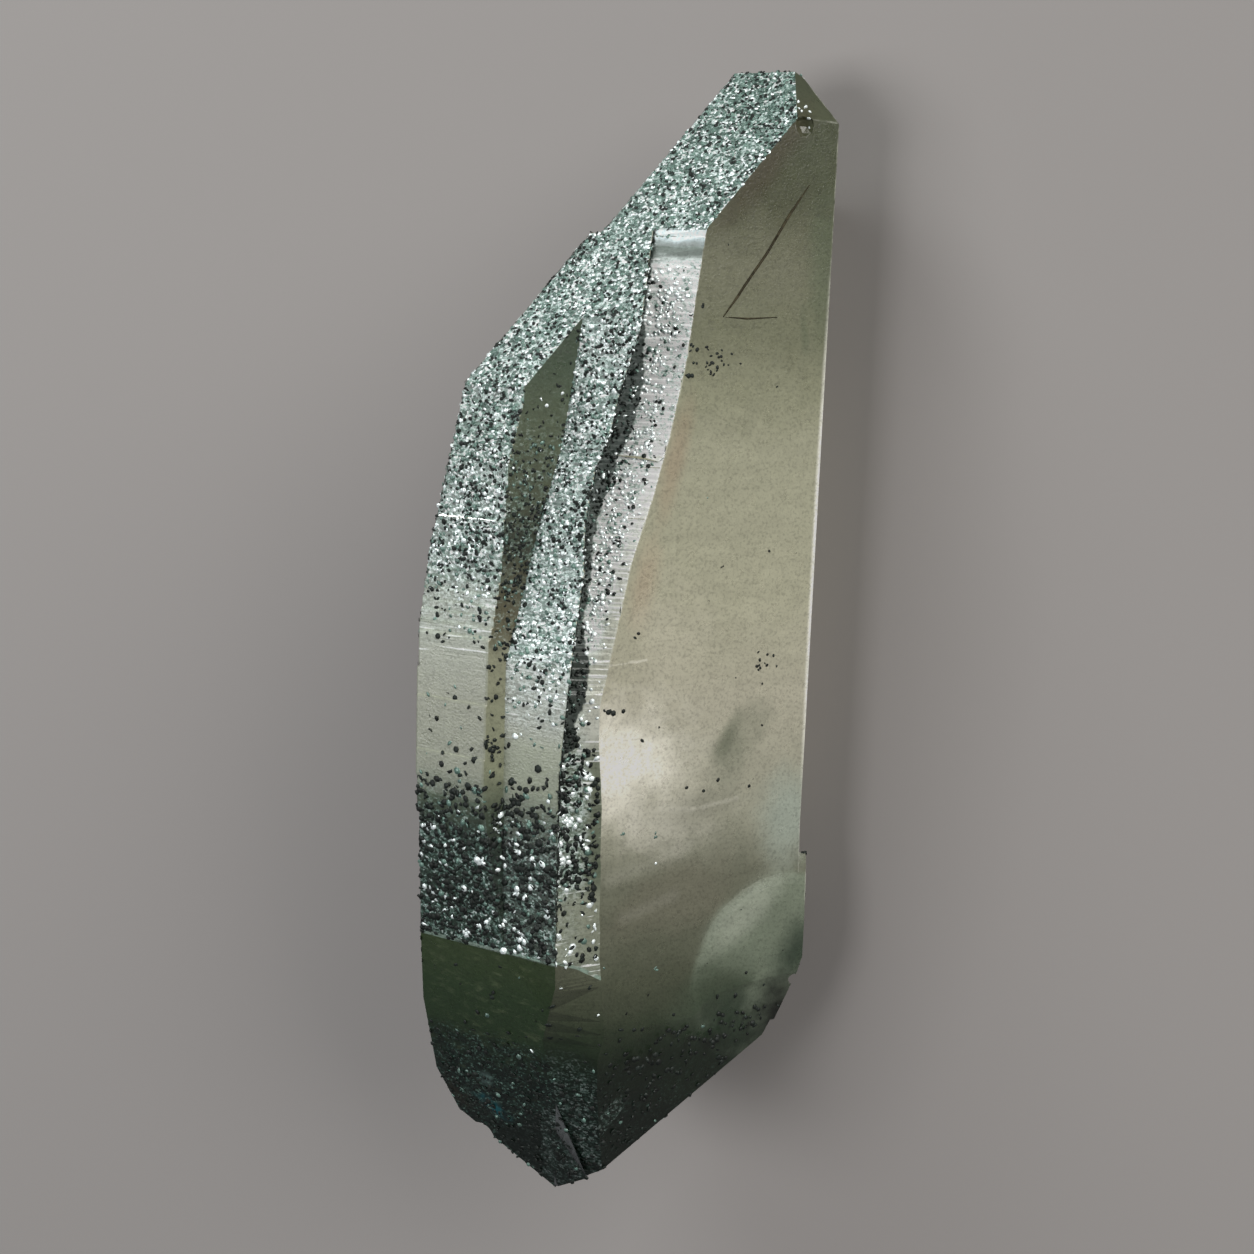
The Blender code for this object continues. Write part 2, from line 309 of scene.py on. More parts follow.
def new_group(name, inputs, outputs):
    """An empty shader node group with named sockets, and its two end nodes."""
    group = bpy.data.node_groups.new(name, "ShaderNodeTree")
    for socket_name, kind, default in inputs:
        socket = group.interface.new_socket(socket_name, in_out="INPUT", socket_type=kind)
        if default is not None:
            socket.default_value = default
    for socket_name, kind in outputs:
        group.interface.new_socket(socket_name, in_out="OUTPUT", socket_type=kind)
    return group, add_node(group, "NodeGroupInput").outputs, add_node(group, "NodeGroupOutput").inputs


def place_group(tree, group, label="", **values):
    """Puts a node group into a tree and feeds it."""
    made = add_node(tree, "ShaderNodeGroup", node_tree=group, label=label)
    for name, value in values.items():
        feed(tree, made.inputs[name.replace("_", " ")], value)
    return made.outputs


def crystal_place_group():
    """Where a point lies in millimetres: from the axis line, and across, along and out of the big face."""
    group, _, out = new_group("crystal_place", [], [
        ("Place", "NodeSocketVector"), ("On Big Face", "NodeSocketVector"), ("Along", "NodeSocketFloat"),
    ])
    place = add_node(group, "ShaderNodeTexCoord").outputs["Object"]
    place = stretch(group, place, (1 / MM,) * 3, shift=-AXIS_LINE)
    along = dot(group, place, (0.0, 1.0, 0.0))
    face = add_node(group, "ShaderNodeCombineXYZ")
    feed(group, face.inputs["X"], dot(group, place, ACROSS_BIG_FACE))
    feed(group, face.inputs["Y"], along)
    feed(group, face.inputs["Z"], dot(group, place, BIG_FACE))
    feed(group, out["Place"], place)
    feed(group, out["On Big Face"], face.outputs["Vector"])
    feed(group, out["Along"], along)
    return group


def soft_patch_group():
    """A cloud inside the quartz: 1 at its centre and 0 past its reach, with a ragged border."""
    group, given, out = new_group("soft_patch", [
        ("Place", "NodeSocketVector", None), ("Centre", "NodeSocketVector", (0.0, 0.0, 0.0)),
        ("Reach", "NodeSocketVector", (1.0, 1.0, 1.0)), ("Turn", "NodeSocketFloat", 0.0),
        ("Grain", "NodeSocketFloat", 0.5), ("Ragged", "NodeSocketFloat", 0.3),
        ("Core", "NodeSocketFloat", 0.3),
    ], [("Mask", "NodeSocketFloat")])
    offset = vector_maths(group, "SUBTRACT", given["Place"], given["Centre"])
    turned = add_node(group, "ShaderNodeVectorRotate", rotation_type="Z_AXIS")
    feed(group, turned.inputs["Vector"], offset)
    feed(group, turned.inputs["Angle"], given["Turn"])
    shrunk = vector_maths(group, "DIVIDE", turned.outputs["Vector"], given["Reach"])
    away = vector_maths(group, "LENGTH", shrunk)
    ragged = minus(group, given["Grain"], 0.5)
    away = times_plus(group, ragged, times(group, given["Ragged"], 2.0), away)
    inside = smooth_step(group, away, given["Core"], 1.0)
    feed(group, out["Mask"], one_minus(group, inside, clamp=True))
    return group


def growth_lines_group():
    """Fine growth lines square to the length of the crystal, as a mask from 0 to 1."""
    group, given, out = new_group("growth_lines", [
        ("Place", "NodeSocketVector", None), ("Cover", "NodeSocketFloat", 0.5),
    ], [("Mask", "NodeSocketFloat"), ("Height", "NodeSocketFloat")])
    lines = grain(group, stretch(group, given["Place"], (0.2, 4.8, 0.2)), 1.0, 2.0, 0.6)
    broken = grain(group, stretch(group, given["Place"], (0.8, 1.6, 0.8)), 1.0, 2.0)
    amount = times_plus(group, minus(group, broken, 0.5), 0.35, lines)
    start = minus(group, 0.82, times(group, given["Cover"], 0.4))
    feed(group, out["Mask"], smooth_step(group, amount, start, plus(group, start, 0.07)))
    feed(group, out["Height"], lines)
    return group


def glitter_group():
    """The finest chlorite, too small to model: specks from near black to near-white painted glints. Shift
    makes them paler.
    """
    group, given, out = new_group("glitter", [
        ("Place", "NodeSocketVector", None), ("Shift", "NodeSocketFloat", 0.0),
    ], [("Colour", "NodeSocketColor"), ("Height", "NodeSocketFloat")])
    amount = given["Shift"]
    for fineness, share in ((4.6, 0.6), (8.5, 0.4)):
        cells = add_node(group, "ShaderNodeTexVoronoi", feature="F1")
        feed(group, cells.inputs["Vector"], stretch(group, given["Place"], (1.0, 1.25, 1.0)))
        cells.inputs["Scale"].default_value = fineness
        random = add_node(group, "ShaderNodeSeparateColor")
        feed(group, random.inputs["Color"], cells.outputs["Color"])
        amount = times_plus(group, random.outputs["Red"], share, amount)
    feed(group, out["Colour"], colour_ramp(group, amount, GLITTER_TONES))
    feed(group, out["Height"], amount)
    return group


def flake_tone_group():
    """Varies the tone from plate to plate, and a little over each plate."""
    group, given, out = new_group("flake_tone", [
        ("Colour", "NodeSocketColor", (0.5, 0.5, 0.5, 1.0)), ("Spread", "NodeSocketFloat", 0.4),
        ("Least Roughness", "NodeSocketFloat", 0.2),
    ], [("Colour", "NodeSocketColor"), ("Roughness", "NodeSocketFloat"), ("Height", "NodeSocketFloat")])
    place = add_node(group, "ShaderNodeTexCoord").outputs["Object"]
    cells = add_node(group, "ShaderNodeTexVoronoi", feature="F1")
    feed(group, cells.inputs["Vector"], place)
    cells.inputs["Scale"].default_value = 2600.0
    tone = add_node(group, "ShaderNodeSeparateColor")
    feed(group, tone.inputs["Color"], cells.outputs["Color"])
    low = one_minus(group, given["Spread"])
    factor = times_plus(group, tone.outputs["Red"], times(group, given["Spread"], 2.0), low)
    grey = add_node(group, "ShaderNodeCombineColor")
    for channel in ("Red", "Green", "Blue"):
        feed(group, grey.inputs[channel], factor)
    feed(group, out["Colour"], blend(group, 1.0, given["Colour"], grey.outputs["Color"], "MULTIPLY"))
    feed(group, out["Roughness"], times_plus(group, tone.outputs["Green"], 0.25, given["Least Roughness"]))
    feed(group, out["Height"], grain(group, place, 9000.0, 2.0))
    return group


# Clouds inside the quartz, seen through the big face: name, colour, centre and reach in millimetres across,
# along and out of the face, turn in degrees, raggedness, how much of the reach is solid, and strength. A few
# are
# painted light and shade instead: the shade along the tip's edge, the rim highlight along the right outline,
# the glow of light through the milky veil, and the lobe glow on the lobe's upper rim.
Cloud = namedtuple("Cloud", "name tone centre reach turn ragged core strength")
CLOUDS = [
    # The next two are painted shade along the tip's edge.
    Cloud("tip shade", paint(66, 72, 52), (13.6, 31.6, 0.0), (4.5, 6.0, 9.0), 0, 0.5, 0.1, 0.6),
    Cloud("tip edge shade", paint(62, 58, 40), (9.4, 30.3, 0.0), (8.0, 1.7, 9.0), -47.7, 0.35, 0.1, 0.9),
    Cloud("green corner", paint(76, 88, 66), (14.8, 24.0, 0.0), (2.2, 8.0, 9.0), 0, 0.5, 0.1, 0.55),
    Cloud("green streak", paint(84, 92, 72), (13.4, 19.6, 0.0), (0.5, 2.6, 9.0), -8, 0.5, 0.1, 0.5),
    # Painted highlight: a pale strip along the right outline.
    Cloud("rim highlight", paint(224, 224, 214), (15.4, 4.0, 0.0), (0.5, 24.0, 9.0), 0, 0.1, 0.3, 1.0),
    Cloud("brown edge", paint(150, 130, 108), (3.3, 11.0, 0.0), (1.3, 6.0, 5.0), 12.6, 0.3, 0.1, 0.5),
    Cloud("brown lower edge", paint(168, 150, 128), (1.2, 2.6, 0.0), (1.5, 4.6, 5.0), 10, 0.4, 0.1, 0.5),
    Cloud("pale middle", paint(176, 173, 155), (3.2, -1.5, 0.0), (5.0, 6.0, 9.0), 0, 0.6, 0.1, 0.6),
    # The milky halo, glow and tail are a milky veil in the quartz, painted paler still as a glow of light
    # through it.
    Cloud("milky halo", paint(182, 180, 165), (2.4, -10.4, 0.0), (8.6, 7.2, 9.0), -14, 0.6, 0.0, 0.8),
    Cloud("milky glow", paint(226, 223, 210), (-0.5, -9.7, 0.0), (6.6, 5.6, 9.0), -14, 0.6, 0.0, 1.0),
    Cloud("milky tail", paint(180, 178, 166), (3.6, -14.4, 0.0), (5.6, 3.0, 9.0), 10, 0.5, 0.0, 0.6),
    Cloud("veil", paint(116, 119, 103), (9.3, -9.4, 0.0), (5.2, 2.6, 6.0), -56, 0.7, 0.0, 0.75),
    Cloud("dark veil", paint(98, 102, 86), (8.5, -8.6, 0.0), (3.0, 1.1, 6.0), -60, 0.4, 0.1, 0.7),
    Cloud("veil foot", paint(122, 122, 108), (6.6, -13.4, 0.0), (4.6, 2.0, 6.0), -20, 0.6, 0.0, 0.6),
    Cloud("blue window", paint(148, 157, 146), (14.4, -15.0, 0.0), (4.0, 5.0, 9.0), 0, 0.3, 0.2, 0.85),
    Cloud("brown low", paint(104, 102, 88), (5.0, -19.6, 0.0), (8.0, 3.4, 9.0), -12, 0.4, 0.3, 0.6),
    Cloud("lobe", paint(112, 122, 106), (13.86, -26.8, 0.0), (7.8, 7.8, 20.0), 0, 0.06, 0.9, 0.75),
    # Painted highlight: a pale band along the lobe's upper rim, where it faces the light.
    Cloud("lobe glow", paint(146, 152, 138), (10.6, -21.8, 0.0), (6.0, 2.2, 9.0), -38, 0.3, 0.1, 0.7),
    Cloud("lobe pocket", paint(46, 58, 46), (15.6, -25.4, 0.0), (3.6, 3.6, 9.0), -20, 0.4, 0.1, 0.95),
    Cloud("lobe foot", paint(64, 73, 58), (8.2, -27.8, 0.0), (5.2, 3.8, 9.0), -30, 0.4, 0.2, 1.0),
    Cloud("lobe shade", paint(44, 57, 43), (10.4, -31.0, 0.0), (7.4, 4.4, 9.0), 10, 0.5, 0.2, 1.0),
    Cloud("lower shade", paint(14, 26, 14), (9.0, -34.4, 0.0), (12.0, 4.6, 9.0), 16, 0.5, 0.2, 1.0),
    Cloud("dark rim", paint(6, 12, 6), (15.4, -31.0, 0.0), (5.6, 4.4, 9.0), 34, 0.4, 0.2, 1.0),
]

# Thin pale healed cracks on the big face: both ends across and along, half width, strength.
Crack = namedtuple("Crack", "start end half_width strength")
CRACKS = [
    Crack((-1.2, -2.56), (1.6, -2.4), 0.06, 0.4),
    Crack((3.2, -13.1), (5.9, -13.4), 0.2, 0.14),
    Crack((5.9, -13.4), (9.6, -13.1), 0.14, 0.16),
    Crack((-0.6, -17.6), (5.6, -16.2), 0.5, 0.07),
    Crack((0.6, -20.6), (4.6, -19.6), 0.4, 0.06),
]

# Colours along the crystal, from the tip down. The clear quartz is that of the big face and the hidden sides.
CLEAR_TONES = [
    (36.0, paint(54, 60, 42)), (30.0, paint(68, 72, 50)), (28.4, paint(69, 72, 51)),
    (23.7, paint(106, 107, 88)), (19.6, paint(107, 109, 88)), (15.0, paint(134, 135, 113)),
    (11.5, paint(151, 151, 130)), (1.5, paint(160, 159, 138)), (-6.0, paint(164, 161, 144)),
    (-14.0, paint(146, 146, 130)), (-18.5, paint(103, 105, 90)), (-25.6, paint(72, 76, 61)),
    (-30.0, paint(34, 45, 30)), (-33.0, paint(12, 22, 13)), (-36.0, paint(6, 16, 9)),
    (-43.5, paint(6, 14, 8)),
]
BASE_TONES = [
    (-23.0, paint(55, 69, 42)), (-27.0, paint(43, 60, 36)), (-32.0, paint(32, 49, 28)),
    (-35.0, paint(9, 27, 19)), (-38.5, paint(5, 18, 11)), (-43.5, paint(18, 23, 14)),
]
BASE_STREAK_TONE = paint(112, 122, 92)
BASE_STREAK_STRENGTH = 0.34

# Patches on the facets of the base, by their place on the crystal.
BASE_CLOUDS = [
    Cloud("cyan glint", paint(16, 116, 128), (-10.2, -37.6, 0.0), (2.2, 1.0, 8.0), 30, 0.5, 0.1, 0.95),
    Cloud("pale glint", paint(116, 142, 138), (-10.3, -35.0, 0.0), (1.1, 0.9, 8.0), 0, 0.6, 0.1, 0.85),
    Cloud("second pale glint", paint(96, 116, 104), (-3.2, -33.6, 0.0), (0.7, 1.2, 4.0), 20, 0.8, 0.0, 0.7),
    Cloud("brown rim", paint(54, 44, 30), (-13.2, -37.4, -2.0), (2.6, 1.4, 6.0), 40, 0.6, 0.1, 0.7),
]

# The finest chlorite, from its darkest speck to its palest, a painted glint, and how much paler it gets along
# the crystal.
GLITTER_TONES = [
    (0.0, paint(8, 16, 12)), (0.3, paint(32, 50, 43)), (0.48, paint(90, 118, 108)),
    (0.62, paint(150, 174, 167)), (0.76, paint(226, 240, 238)),
]
GLITTER_SHIFT = [(38.0, 0.0), (20.0, 0.04), (3.0, 0.02), (-2.0, 0.12), (-8.0, 0.0), (-10.0, -0.24),
                 (-23.0, -0.16), (-26.0, -0.45), (-44.0, -0.45)]
# On the right column the specks are drawn paler as painted reflection.
RIGHT_FACE_REFLECTION_SHIFT = 0.3
WALL_SHIFT = -0.24

# The stepped faces. The number of a face is written on the body where it lies. Its tones are the bare quartz,
# except the near-white tones of the right column, which are a painted reflection of the softbox; its lines
# are how much of it the growth lines cover, drawn as painted glints, and its dust is how much the finest
# chlorite covers.
SteppedFace = namedtuple("SteppedFace", "number tones lines dust")
LEFT_FACE, MIDDLE_FACE, RIGHT_FACE, WALL_FACE = 1, 2, 3, 4
STEPPED_FACES = [
    SteppedFace(
        LEFT_FACE,
        [(37.0, paint(84, 112, 102)), (17.0, paint(100, 124, 116)), (3.4, paint(120, 136, 126)),
         (2.0, paint(156, 162, 150)), (-1.5, paint(147, 152, 138)), (-5.0, paint(138, 141, 125)),
         (-10.0, paint(132, 136, 120)), (-12.0, paint(92, 102, 84)), (-15.0, paint(46, 58, 48)),
         (-22.8, paint(44, 56, 46))],
        [(37.0, 0.0), (3.4, 0.1), (2.4, 0.55), (-1.2, 0.6), (-2.2, 0.25), (-5.0, 0.1), (-11.0, 0.05),
         (-21.0, 0.0), (-22.8, 0.3)],
        [(37.0, 0.85), (4.0, 0.8), (2.0, 0.45), (0.0, 0.2), (-2.0, 0.0), (-10.0, 0.0), (-12.5, 0.35),
         (-15.0, 0.8), (-22.8, 0.75)],
    ),
    SteppedFace(
        MIDDLE_FACE,
        [(27.0, paint(110, 136, 128)), (-1.5, paint(118, 140, 132)), (-2.6, paint(168, 173, 164)),
         (-6.5, paint(162, 166, 156)), (-8.0, paint(142, 148, 130)), (-11.0, paint(130, 137, 118)),
         (-13.0, paint(84, 94, 78)), (-16.0, paint(44, 56, 46)), (-22.8, paint(56, 66, 56))],
        [(27.0, 0.3), (0.0, 0.2), (-2.0, 0.65), (-6.0, 0.6), (-7.5, 0.3), (-11.0, 0.1), (-20.0, 0.05),
         (-22.4, 0.4)],
        [(27.0, 0.85), (-1.0, 0.75), (-3.0, 0.45), (-6.0, 0.25), (-7.5, 0.0), (-11.0, 0.0), (-13.0, 0.35),
         (-16.0, 0.8), (-22.8, 0.65)],
    ),
    SteppedFace(
        RIGHT_FACE,
        # The near-white tones down to about -7 mm are a painted reflection of the softbox, as if the column
        # mirrored it.
        [(27.0, paint(196, 214, 218)), (25.5, paint(206, 224, 228)), (25.1, paint(104, 114, 108)),
         (24.4, paint(108, 118, 112)), (23.9, paint(206, 212, 209)), (8.0, paint(210, 214, 208)),
         (-3.0, paint(172, 174, 160)), (-7.0, paint(186, 188, 178)), (-9.0, paint(112, 118, 102)),
         (-17.0, paint(88, 96, 80)), (-19.0, paint(126, 130, 114)), (-24.5, paint(118, 124, 110))],
        [(27.0, 0.3), (25.5, 0.3), (25.1, 0.1), (24.3, 0.1), (23.9, 0.8), (2.0, 0.8), (-8.0, 0.5),
         (-18.0, 0.3), (-22.0, 0.5), (-24.0, 0.55)],
        [(24.4, 0.0), (23.9, 0.75), (17.0, 0.75), (8.0, 0.8), (-1.0, 0.75), (-2.6, 0.1), (-4.0, 0.3),
         (-8.0, 0.3), (-9.5, 0.65), (-17.0, 0.6), (-19.0, 0.1), (-24.0, 0.1)],
    ),
    SteppedFace(
        WALL_FACE,
        [(22.0, paint(48, 60, 45)), (17.0, paint(60, 73, 56)), (12.0, paint(82, 90, 70)),
         (8.0, paint(78, 82, 62)), (5.4, paint(52, 54, 38)), (3.8, paint(76, 74, 56)),
         (-0.5, paint(100, 95, 75)), (-2.0, paint(132, 133, 112)), (-10.0, paint(126, 130, 108)),
         (-13.0, paint(74, 84, 68)), (-16.0, paint(48, 60, 50)), (-24.0, paint(46, 58, 48))],
        [(22.0, 0.05), (-24.0, 0.04)],
        [(22.0, 0.0), (14.0, 0.05), (10.0, 0.4), (5.0, 0.55), (4.0, 0.3), (-1.0, 0.2), (-2.0, 0.0),
         (-10.0, 0.0), (-15.0, 0.6), (-23.0, 0.6)],
    ),
]
# Painted shade in the groove beside the wall, over the dark chlorite that gathers there.
GROOVE_SHADE_TONE = paint(20, 31, 25)
# A painted highlight along the rim of the last ledge.
LEDGE_HIGHLIGHT_TONE = paint(126, 146, 134)
# A painted highlight along the worn edges.
EDGE_HIGHLIGHT_TONE = paint(200, 202, 190)
BASE_DUST = [(-23.0, 0.0), (-31.0, 0.05), (-35.0, 0.22), (-39.0, 0.18), (-44.0, 0.06)]

# The quartz lets half of the light through, so its surface is made paler than it is to look by this factor.
TRANSMISSION = 0.5
SEEN_THROUGH_GAIN = 1.45
PALEST = 0.97

# The edges of masks in millimetres: how far the tones of the stepped faces stray along them, where the dust
# starts inward of the big face's edge, where it covers that edge too, the painted highlight on the rim of the
# last ledge, and the dust on the base below that ledge.
TONE_STRAY = 1.0
DUST_INWARD = (0.3, 1.2)
DUST_TO_THE_EDGE = (10.0, 15.0)
LEDGE_UNDERSIDE = (-0.1, -0.14)
LEDGE_RIM_TOP = (0.24, 0.1)
LEDGE_RIM_FOOT = (-0.16, -0.12)
BASE_DUST_START = (-9.0, -7.0)

# How strongly each layer of the quartz covers what is under it.
# How strongly the painted glints of the growth lines cover.
LINE_GLINT_STRENGTH = 0.8
GROOVE_SHADE_STRENGTH = 0.95
GROOVE_CLEARED = 0.85
BASE_DUST_STRENGTH = 0.6
LEDGE_HIGHLIGHT_STRENGTH = 0.85
# How strongly the painted highlight on the worn edges covers, off and on the stepped faces.
EDGE_HIGHLIGHT_STRENGTH = 0.4
EDGE_HIGHLIGHT_ON_STEPS = 0.05
CRACK_TONE = paint(226, 224, 212)


def crack_mask(tree, face, waver, crack):
    """How near a point of the big face is to a healed crack, which wavers a little."""
    start, end = Vector((*crack.start, 0.0)), Vector((*crack.end, 0.0))
    reach = (end - start).length
    flat = vector_maths(tree, "MULTIPLY", face, (1.0, 1.0, 0.0))
    offset = vector_maths(tree, "SUBTRACT", flat, start)
    run = maths(tree, "DIVIDE", dot(tree, offset, (end - start) / reach), reach, clamp=True)
    scaled = add_node(tree, "ShaderNodeVectorMath", operation="SCALE")
    feed(tree, scaled.inputs[0], end - start)
    feed(tree, scaled.inputs["Scale"], run)
    away = vector_maths(tree, "DISTANCE", offset, scaled.outputs["Vector"])
    wavy = times_plus(tree, waver, 0.5, minus(tree, away, 0.25))
    near = one_minus(tree, smooth_step(tree, maths(tree, "ABSOLUTE", wavy), 0.0, crack.half_width * 2))
    return times(tree, near, crack.strength)


def new_material(name):
    """A material with a Principled shader, its tree and that shader's inputs."""
    material = bpy.data.materials.new(name)
    material.use_nodes = True
    return material, material.node_tree, material.node_tree.nodes["Principled BSDF"].inputs


def bump(tree, shader, height, distance, strength):
    """Feeds a shader's normal from a height."""
    made = add_node(tree, "ShaderNodeBump")
    feed(tree, made.inputs["Height"], height)
    made.inputs["Distance"].default_value = distance
    made.inputs["Strength"].default_value = strength
    feed(tree, shader["Normal"], made.outputs["Normal"])


def with_clouds(tree, tone, place, border, clouds):
    """A tone with clouds laid over it in order. Border is the noise that makes their borders ragged."""
    patch = bpy.data.node_groups.get("soft_patch") or soft_patch_group()
    for cloud in clouds:
        mask = place_group(
            tree, patch, cloud.name, Place=place, Centre=cloud.centre, Reach=cloud.reach,
            Turn=math.radians(cloud.turn), Grain=border, Ragged=cloud.ragged, Core=cloud.core
        )["Mask"]
        tone = blend(tree, times(tree, mask, cloud.strength), tone, cloud.tone)
    return tone


def cloudy_tone(tree, place, face, along):
    """The quartz of the smooth faces: its tones along the crystal, its clouds and its healed cracks."""
    drift = minus(tree, grain(tree, place, 0.3, 4.0, 0.55, 0.5), 0.5)
    tone = along_ramp(tree, times_plus(tree, drift, 4.0, along), CLEAR_TONES)
    tone = with_clouds(tree, tone, face, grain(tree, face, 0.35, 4.0, 0.6, 0.4), CLOUDS)
    waver = grain(tree, face, 1.4, 2.0)
    for crack in CRACKS:
        tone = blend(tree, crack_mask(tree, face, waver, crack), tone, CRACK_TONE)
    return tone


def groove_mask(tree, place, along):
    """1 in the groove beside the wall between the middle and the right column."""
    across = dot(tree, place, RIGHT_SIDE)
    beyond = maths(tree, "DIVIDE", plus(tree, across, along_value(tree, along, SPLIT_WALL)), RIGHT_SIDE.x)
    ragged = times_plus(tree, grain(tree, place, 1.6, 3.0), 0.8, minus(tree, beyond, 0.4))
    outside = minus(tree, ragged, along_value(tree, along, GROOVE_WIDTH))
    return one_minus(tree, smooth_step(tree, outside, -0.1, 0.1))


def inward_of_edge(tree, place, along):
    """Millimetres from the right column's edge with the big face, over the column."""
    edge = times(tree, along_value(tree, along, RIGHT_COLUMN), -BIG_FACE.z / BIG_FACE.x)
    return minus(tree, edge, dot(tree, place, (1.0, 0.0, 0.0)))


def below_ledge_place(tree, place, along):
    """Height over the last ledge in millimetres, with the ledge's drop over the right column."""
    sideways = dot(tree, place, (1.0, 0.0, 0.0))
    share = maths(tree, "DIVIDE", minus(tree, sideways, LEDGE_DROP_START), LEDGE_DROP_RUN, clamp=True)
    return plus(tree, times_plus(tree, share, LEDGE_DROP, along), -LAST_LEDGE)


def base_tone(tree, place, along):
    """The dark green quartz below the last ledge, with pale slanted streaks and a few patches."""
    tone = along_ramp(tree, along, BASE_TONES)
    slanted = stretch(tree, place, (0.8, 1.7, 0.8), turn=(0.0, 0.0, math.radians(38)))
    streaks = smooth_step(tree, grain(tree, slanted, 1.0, 4.0, 0.65), 0.5, 0.78)
    tone = blend(tree, times(tree, streaks, BASE_STREAK_STRENGTH), tone, BASE_STREAK_TONE)
    return with_clouds(tree, tone, place, grain(tree, place, 0.9, 4.0, 0.6), BASE_CLOUDS)


def attribute(tree, name):
    """A number that is written on the body."""
    return add_node(tree, "ShaderNodeAttribute", attribute_name=name).outputs["Fac"]


def on_face(tree, number, wanted):
    """1 on the stepped face of the wanted number."""
    return maths(tree, "COMPARE", number, wanted, 0.5)


def fine_chlorite(tree, place, along, number):
    """The finest chlorite, paler on the right column as part of its painted reflection, and darker on the
    step wall.
    """
    shift = along_value(tree, along, GLITTER_SHIFT)
    shift = times_plus(tree, on_face(tree, number, RIGHT_FACE), RIGHT_FACE_REFLECTION_SHIFT, shift)
    shift = times_plus(tree, on_face(tree, number, WALL_FACE), WALL_SHIFT, shift)
    return place_group(tree, glitter_group(), Place=place, Shift=shift)


def stepped_tones(tree, place, along, number, tone):
    """The bare quartz of the stepped faces, and how much of it growth lines and dust cover."""
    cover = 0.0
    dust = times(tree, along_value(tree, along, BASE_DUST), BASE_DUST_STRENGTH)
    drift = minus(tree, grain(tree, place, 0.8, 3.0), 0.5)
    uneven = times_plus(tree, drift, TONE_STRAY, along)
    for stepped in STEPPED_FACES:
        here = on_face(tree, number, stepped.number)
        tone = blend(tree, here, tone, along_ramp(tree, uneven, stepped.tones))
        cover = times_plus(tree, here, along_value(tree, along, stepped.lines), cover)
        dust = times_plus(tree, here, along_value(tree, uneven, stepped.dust), dust)
    return tone, cover, dust


def dust_mask(tree, place, along, dust, on_right, in_groove):
    """Where the dust lies: patchy, thin in the groove, and off the right column's edge low on the crystal."""
    inward = smooth_step(tree, inward_of_edge(tree, place, along), *DUST_INWARD)
    dusty = maths(tree, "MAXIMUM", inward, smooth_step(tree, along, *DUST_TO_THE_EDGE))
    dust = times(tree, dust, maths(tree, "MAXIMUM", dusty, one_minus(tree, on_right)))
    dust = times(tree, dust, times_plus(tree, in_groove, -GROOVE_CLEARED, 1.0))
    gathered = smooth_step(tree, grain(tree, place, 1.2, 2.0), 0.3, 0.62)
    return times(tree, dust, times_plus(tree, gathered, 0.5, 0.6), clamp=True)


def ledge_rim_highlight(tree, place, over_ledge, on_steps):
    """The pale, broken rim of the last ledge, a painted highlight."""
    rim = times(
        tree, smooth_step(tree, over_ledge, *LEDGE_RIM_TOP), smooth_step(tree, over_ledge, *LEDGE_RIM_FOOT)
    )
    broken = smooth_step(tree, grain(tree, place, 1.3, 2.0), 0.3, 0.5)
    return times(tree, times(tree, times(tree, rim, on_steps), broken), LEDGE_HIGHLIGHT_STRENGTH)


def edge_highlight_mask(tree, place, worn, on_steps):
    """Where the worn edges get a pale painted highlight, in patches."""
    highlighted = times(tree, worn, smooth_step(tree, grain(tree, place, 0.9, 3.0), 0.35, 0.65))
    return times(tree, highlighted, times_plus(tree, on_steps, EDGE_HIGHLIGHT_ON_STEPS - EDGE_HIGHLIGHT_STRENGTH, EDGE_HIGHLIGHT_STRENGTH))


def surface_tone(tree, place, face, tone):
    """The quartz's tone with fine mottles, veils and specks, as pale as it must be to look right."""
    mottle = times_plus(tree, grain(tree, place, 1.1, 5.0, 0.6), 0.3, 0.85)
    slanted = stretch(tree, face, (0.16, 0.7, 0.3), turn=(0.0, 0.0, math.radians(-18)))
    veils = grain(tree, slanted, 1.0, 5.0, 0.6, 0.8)
    mottle = times(tree, mottle, times_plus(tree, veils, 0.3, 0.85))
    specks = times_plus(tree, smooth_step(tree, grain(tree, place, 4.5, 2.0, 0.7), 0.3, 0.55), 0.3, 0.79)
    paler = add_node(tree, "ShaderNodeVectorMath", operation="SCALE")
    feed(tree, paler.inputs[0], tone)
    feed(tree, paler.inputs["Scale"], times(tree, times(tree, mottle, specks), SEEN_THROUGH_GAIN))
    return vector_maths(tree, "MINIMUM", paler.outputs["Vector"], (PALEST,) * 3)


